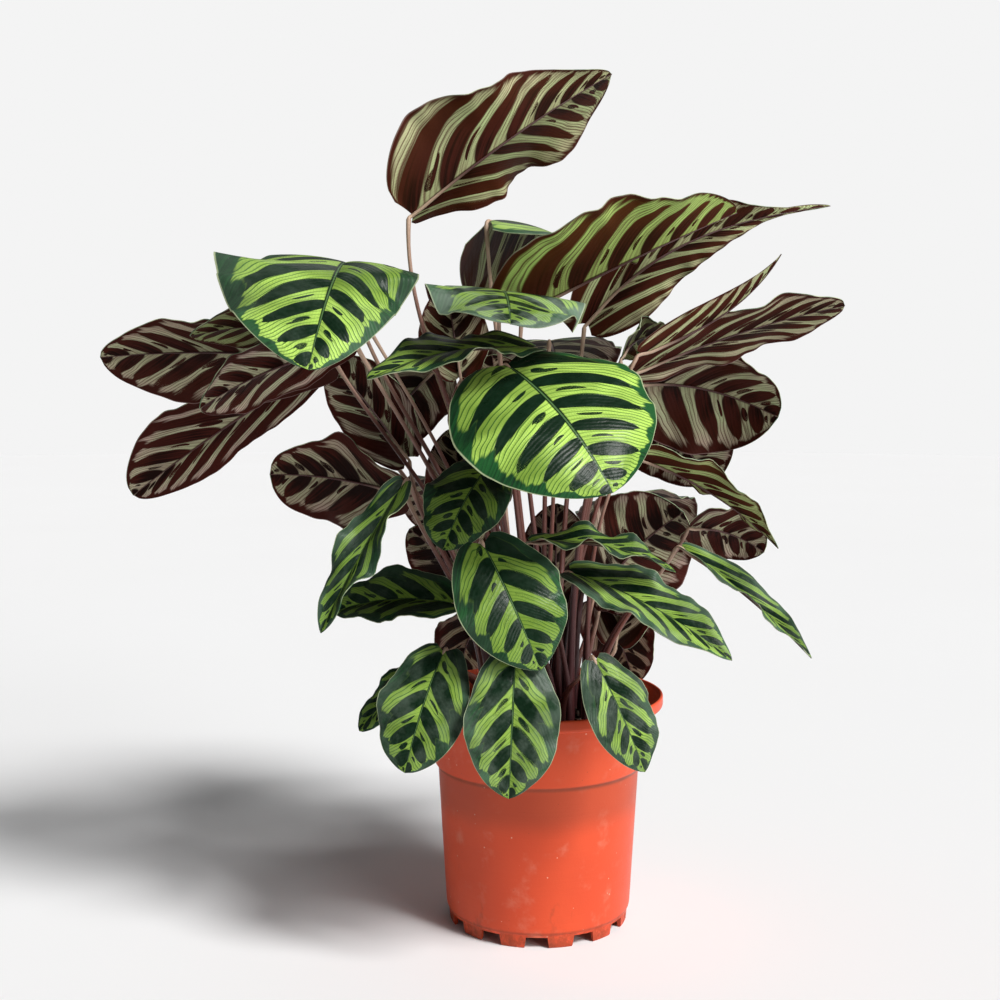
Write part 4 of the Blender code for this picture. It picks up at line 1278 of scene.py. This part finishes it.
@with_colours(LEAF_COLOURS)
class PlantLeafLook(PropertyGroup):
    """Colours of the leaves and stalks, and the thickness of a blade."""

    blade_thickness: FloatProperty(name="Blade thickness", description="Thickness of a blade",
                                   default=0.0005, min=0.0002, max=0.0008, unit="LENGTH")


@with_colours(POT_COLOURS)
class PlantPotLook(PropertyGroup):
    """Colours and fineness of the pot."""

    steps: IntProperty(name="Steps", description="Steps in a full turn of the pot", default=144,
                       min=24, max=288)


@with_colours(SOIL_COLOURS)
class PlantSoilLook(PropertyGroup):
    """Colours and crumbs of the soil."""

    crumbs: IntProperty(name="Crumbs", description="Crumbs lying on the soil", default=700, min=0,
                        max=3000)
    seed: IntProperty(name="Seed", description="Seed of the crumbs' places", default=7)


@with_colours(STUDIO_COLOURS)
class PlantStudioLook(PropertyGroup):
    """Floor, lights and camera of the studio."""

    key: FloatProperty(name="Key light", description="Strength of the key light", default=3.4,
                       min=0)
    softness: FloatProperty(name="Softness", description="Angle over which the key light comes",
                            default=math.radians(18), min=0, subtype="ANGLE")
    fill: FloatProperty(name="Fill light", description="Strength of the fill and back lights",
                        default=1.6, min=0)
    sky: FloatProperty(name="Sky", description="Strength of the even light from all round",
                       default=0.088, min=0)
    backdrop: FloatProperty(name="Backdrop", description="Brightness of the plain pale backdrop",
                            default=0.918, min=0)
    lens: FloatProperty(name="Lens", description="Focal length of the camera in millimetres",
                        default=50.2, min=1, unit="CAMERA")
    pitch: FloatProperty(name="Pitch", description="Tilt of the camera up from straight down",
                         default=math.radians(84.9), subtype="ANGLE")


class PLANT_OT_leaves(Operator):
    """Make every leaf with its blade, midrib and stalk"""

    bl_idname = "plant.leaves"
    bl_label = "Leaves"

    def execute(self, context):
        look = context.scene.plant_leaves
        materials = [finish(look) for finish in (leaf_upper_finish, leaf_under_finish,
                                                 leaf_edge_finish, stalk_finish)]
        for number, leaf in enumerate(LEAVES, start=1):
            build_leaf(number, leaf, look, materials)
        return {"FINISHED"}


class PLANT_OT_pot(Operator):
    """Make the nursery pot with its lip, feet and drainage holes"""

    bl_idname = "plant.pot"
    bl_label = "Pot"

    def execute(self, context):
        build_pot(context.scene.plant_pot)
        return {"FINISHED"}


class PLANT_OT_soil(Operator):
    """Make the soil with its crumbs"""

    bl_idname = "plant.soil"
    bl_label = "Soil"

    def execute(self, context):
        build_soil(context.scene.plant_soil)
        return {"FINISHED"}


def add_sun(name, place, strength, angle, colour):
    """A sun lamp that shines from its place to the foot of the pot."""
    data = bpy.data.lights.new(name, "SUN")
    data.energy = strength
    data.angle = angle
    data.color = colour
    obj = bpy.data.objects.new(name, data)
    bpy.context.scene.collection.objects.link(obj)
    obj.location = to_axis(np.array(place))
    way = Vector(POT_AXIS) - obj.location
    obj.rotation_euler = way.to_track_quat("-Z", "Y").to_euler()


def add_sky(look):
    """Even light from all round, behind which the camera sees a brighter plain backdrop."""
    world = bpy.data.worlds.new("studio")
    world.use_nodes = True
    tree = world.node_tree
    seen = tree.nodes.new("ShaderNodeMix")
    shine = tree.nodes["Background"].inputs
    feed(seen.inputs[0], tree.nodes.new("ShaderNodeLightPath").outputs["Is Camera Ray"])
    feed(seen.inputs[2], look.sky)
    feed(seen.inputs[3], look.backdrop)
    feed(shine["Strength"], seen.outputs[0])
    feed(shine["Color"], SKY_COLOUR)
    bpy.context.scene.world = world


def add_camera(look):
    """The camera of the photo, in front of the pot and tilted a little down."""
    camera = bpy.data.objects.new("camera", bpy.data.cameras.new("camera"))
    bpy.context.scene.collection.objects.link(camera)
    camera.data.lens = look.lens
    camera.data.sensor_width = SENSOR_WIDTH
    camera.data.clip_start = NEAR_CLIP
    camera.location = to_axis(np.array(CAMERA_PLACE))
    camera.rotation_euler = (look.pitch, 0, 0)
    bpy.context.scene.camera = camera


class PLANT_OT_studio(Operator):
    """Make the floor, the lights, the even sky and the camera"""

    bl_idname = "plant.studio"
    bl_label = "Studio"

    def execute(self, context):
        look = context.scene.plant_studio
        deselect()
        bpy.ops.mesh.primitive_circle_add(vertices=FLOOR_STEPS, radius=FLOOR_RADIUS,
                                          fill_type="NGON")
        floor = context.object
        floor.name = "studio_floor"
        paint(floor, [floor_finish(look)])
        wide = 2*look.softness
        add_sun("key", KEY_PLACE, look.key, look.softness, KEY_COLOUR)
        add_sun("fill", FILL_PLACE, look.fill, wide, FILL_COLOUR)
        add_sun("back", BACK_PLACE, look.fill*BACK_SHARE, wide, FILL_COLOUR)
        add_sky(look)
        add_camera(look)
        context.scene.view_settings.view_transform = "Standard"
        return {"FINISHED"}


class PLANT_PT_panel(Panel):
    """Lists the makers of the plant's pieces."""

    bl_label = "Potted peacock plant"
    bl_idname = "PLANT_PT_panel"
    bl_space_type = "VIEW_3D"
    bl_region_type = "UI"
    bl_category = "Plant"

    def draw(self, context):
        for operator in OPERATORS:
            self.layout.operator(operator.bl_idname)


OPERATORS = (PLANT_OT_pot, PLANT_OT_soil, PLANT_OT_leaves, PLANT_OT_studio)
LOOKS = {"plant_leaves": PlantLeafLook, "plant_pot": PlantPotLook, "plant_soil": PlantSoilLook,
         "plant_studio": PlantStudioLook}


def register():
    for item in (*LOOKS.values(), *OPERATORS, PLANT_PT_panel):
        bpy.utils.register_class(item)
    for name, look in LOOKS.items():
        setattr(bpy.types.Scene, name, PointerProperty(type=look))


def unregister():
    for name in LOOKS:
        delattr(bpy.types.Scene, name)
    for item in (PLANT_PT_panel, *reversed(OPERATORS), *reversed(LOOKS.values())):
        bpy.utils.unregister_class(item)


def main():
    register()
    deselect()
    bpy.ops.plant.pot()
    bpy.ops.plant.soil()
    bpy.ops.plant.leaves()
    bpy.ops.plant.studio()


if __name__ == "__main__":
    main()
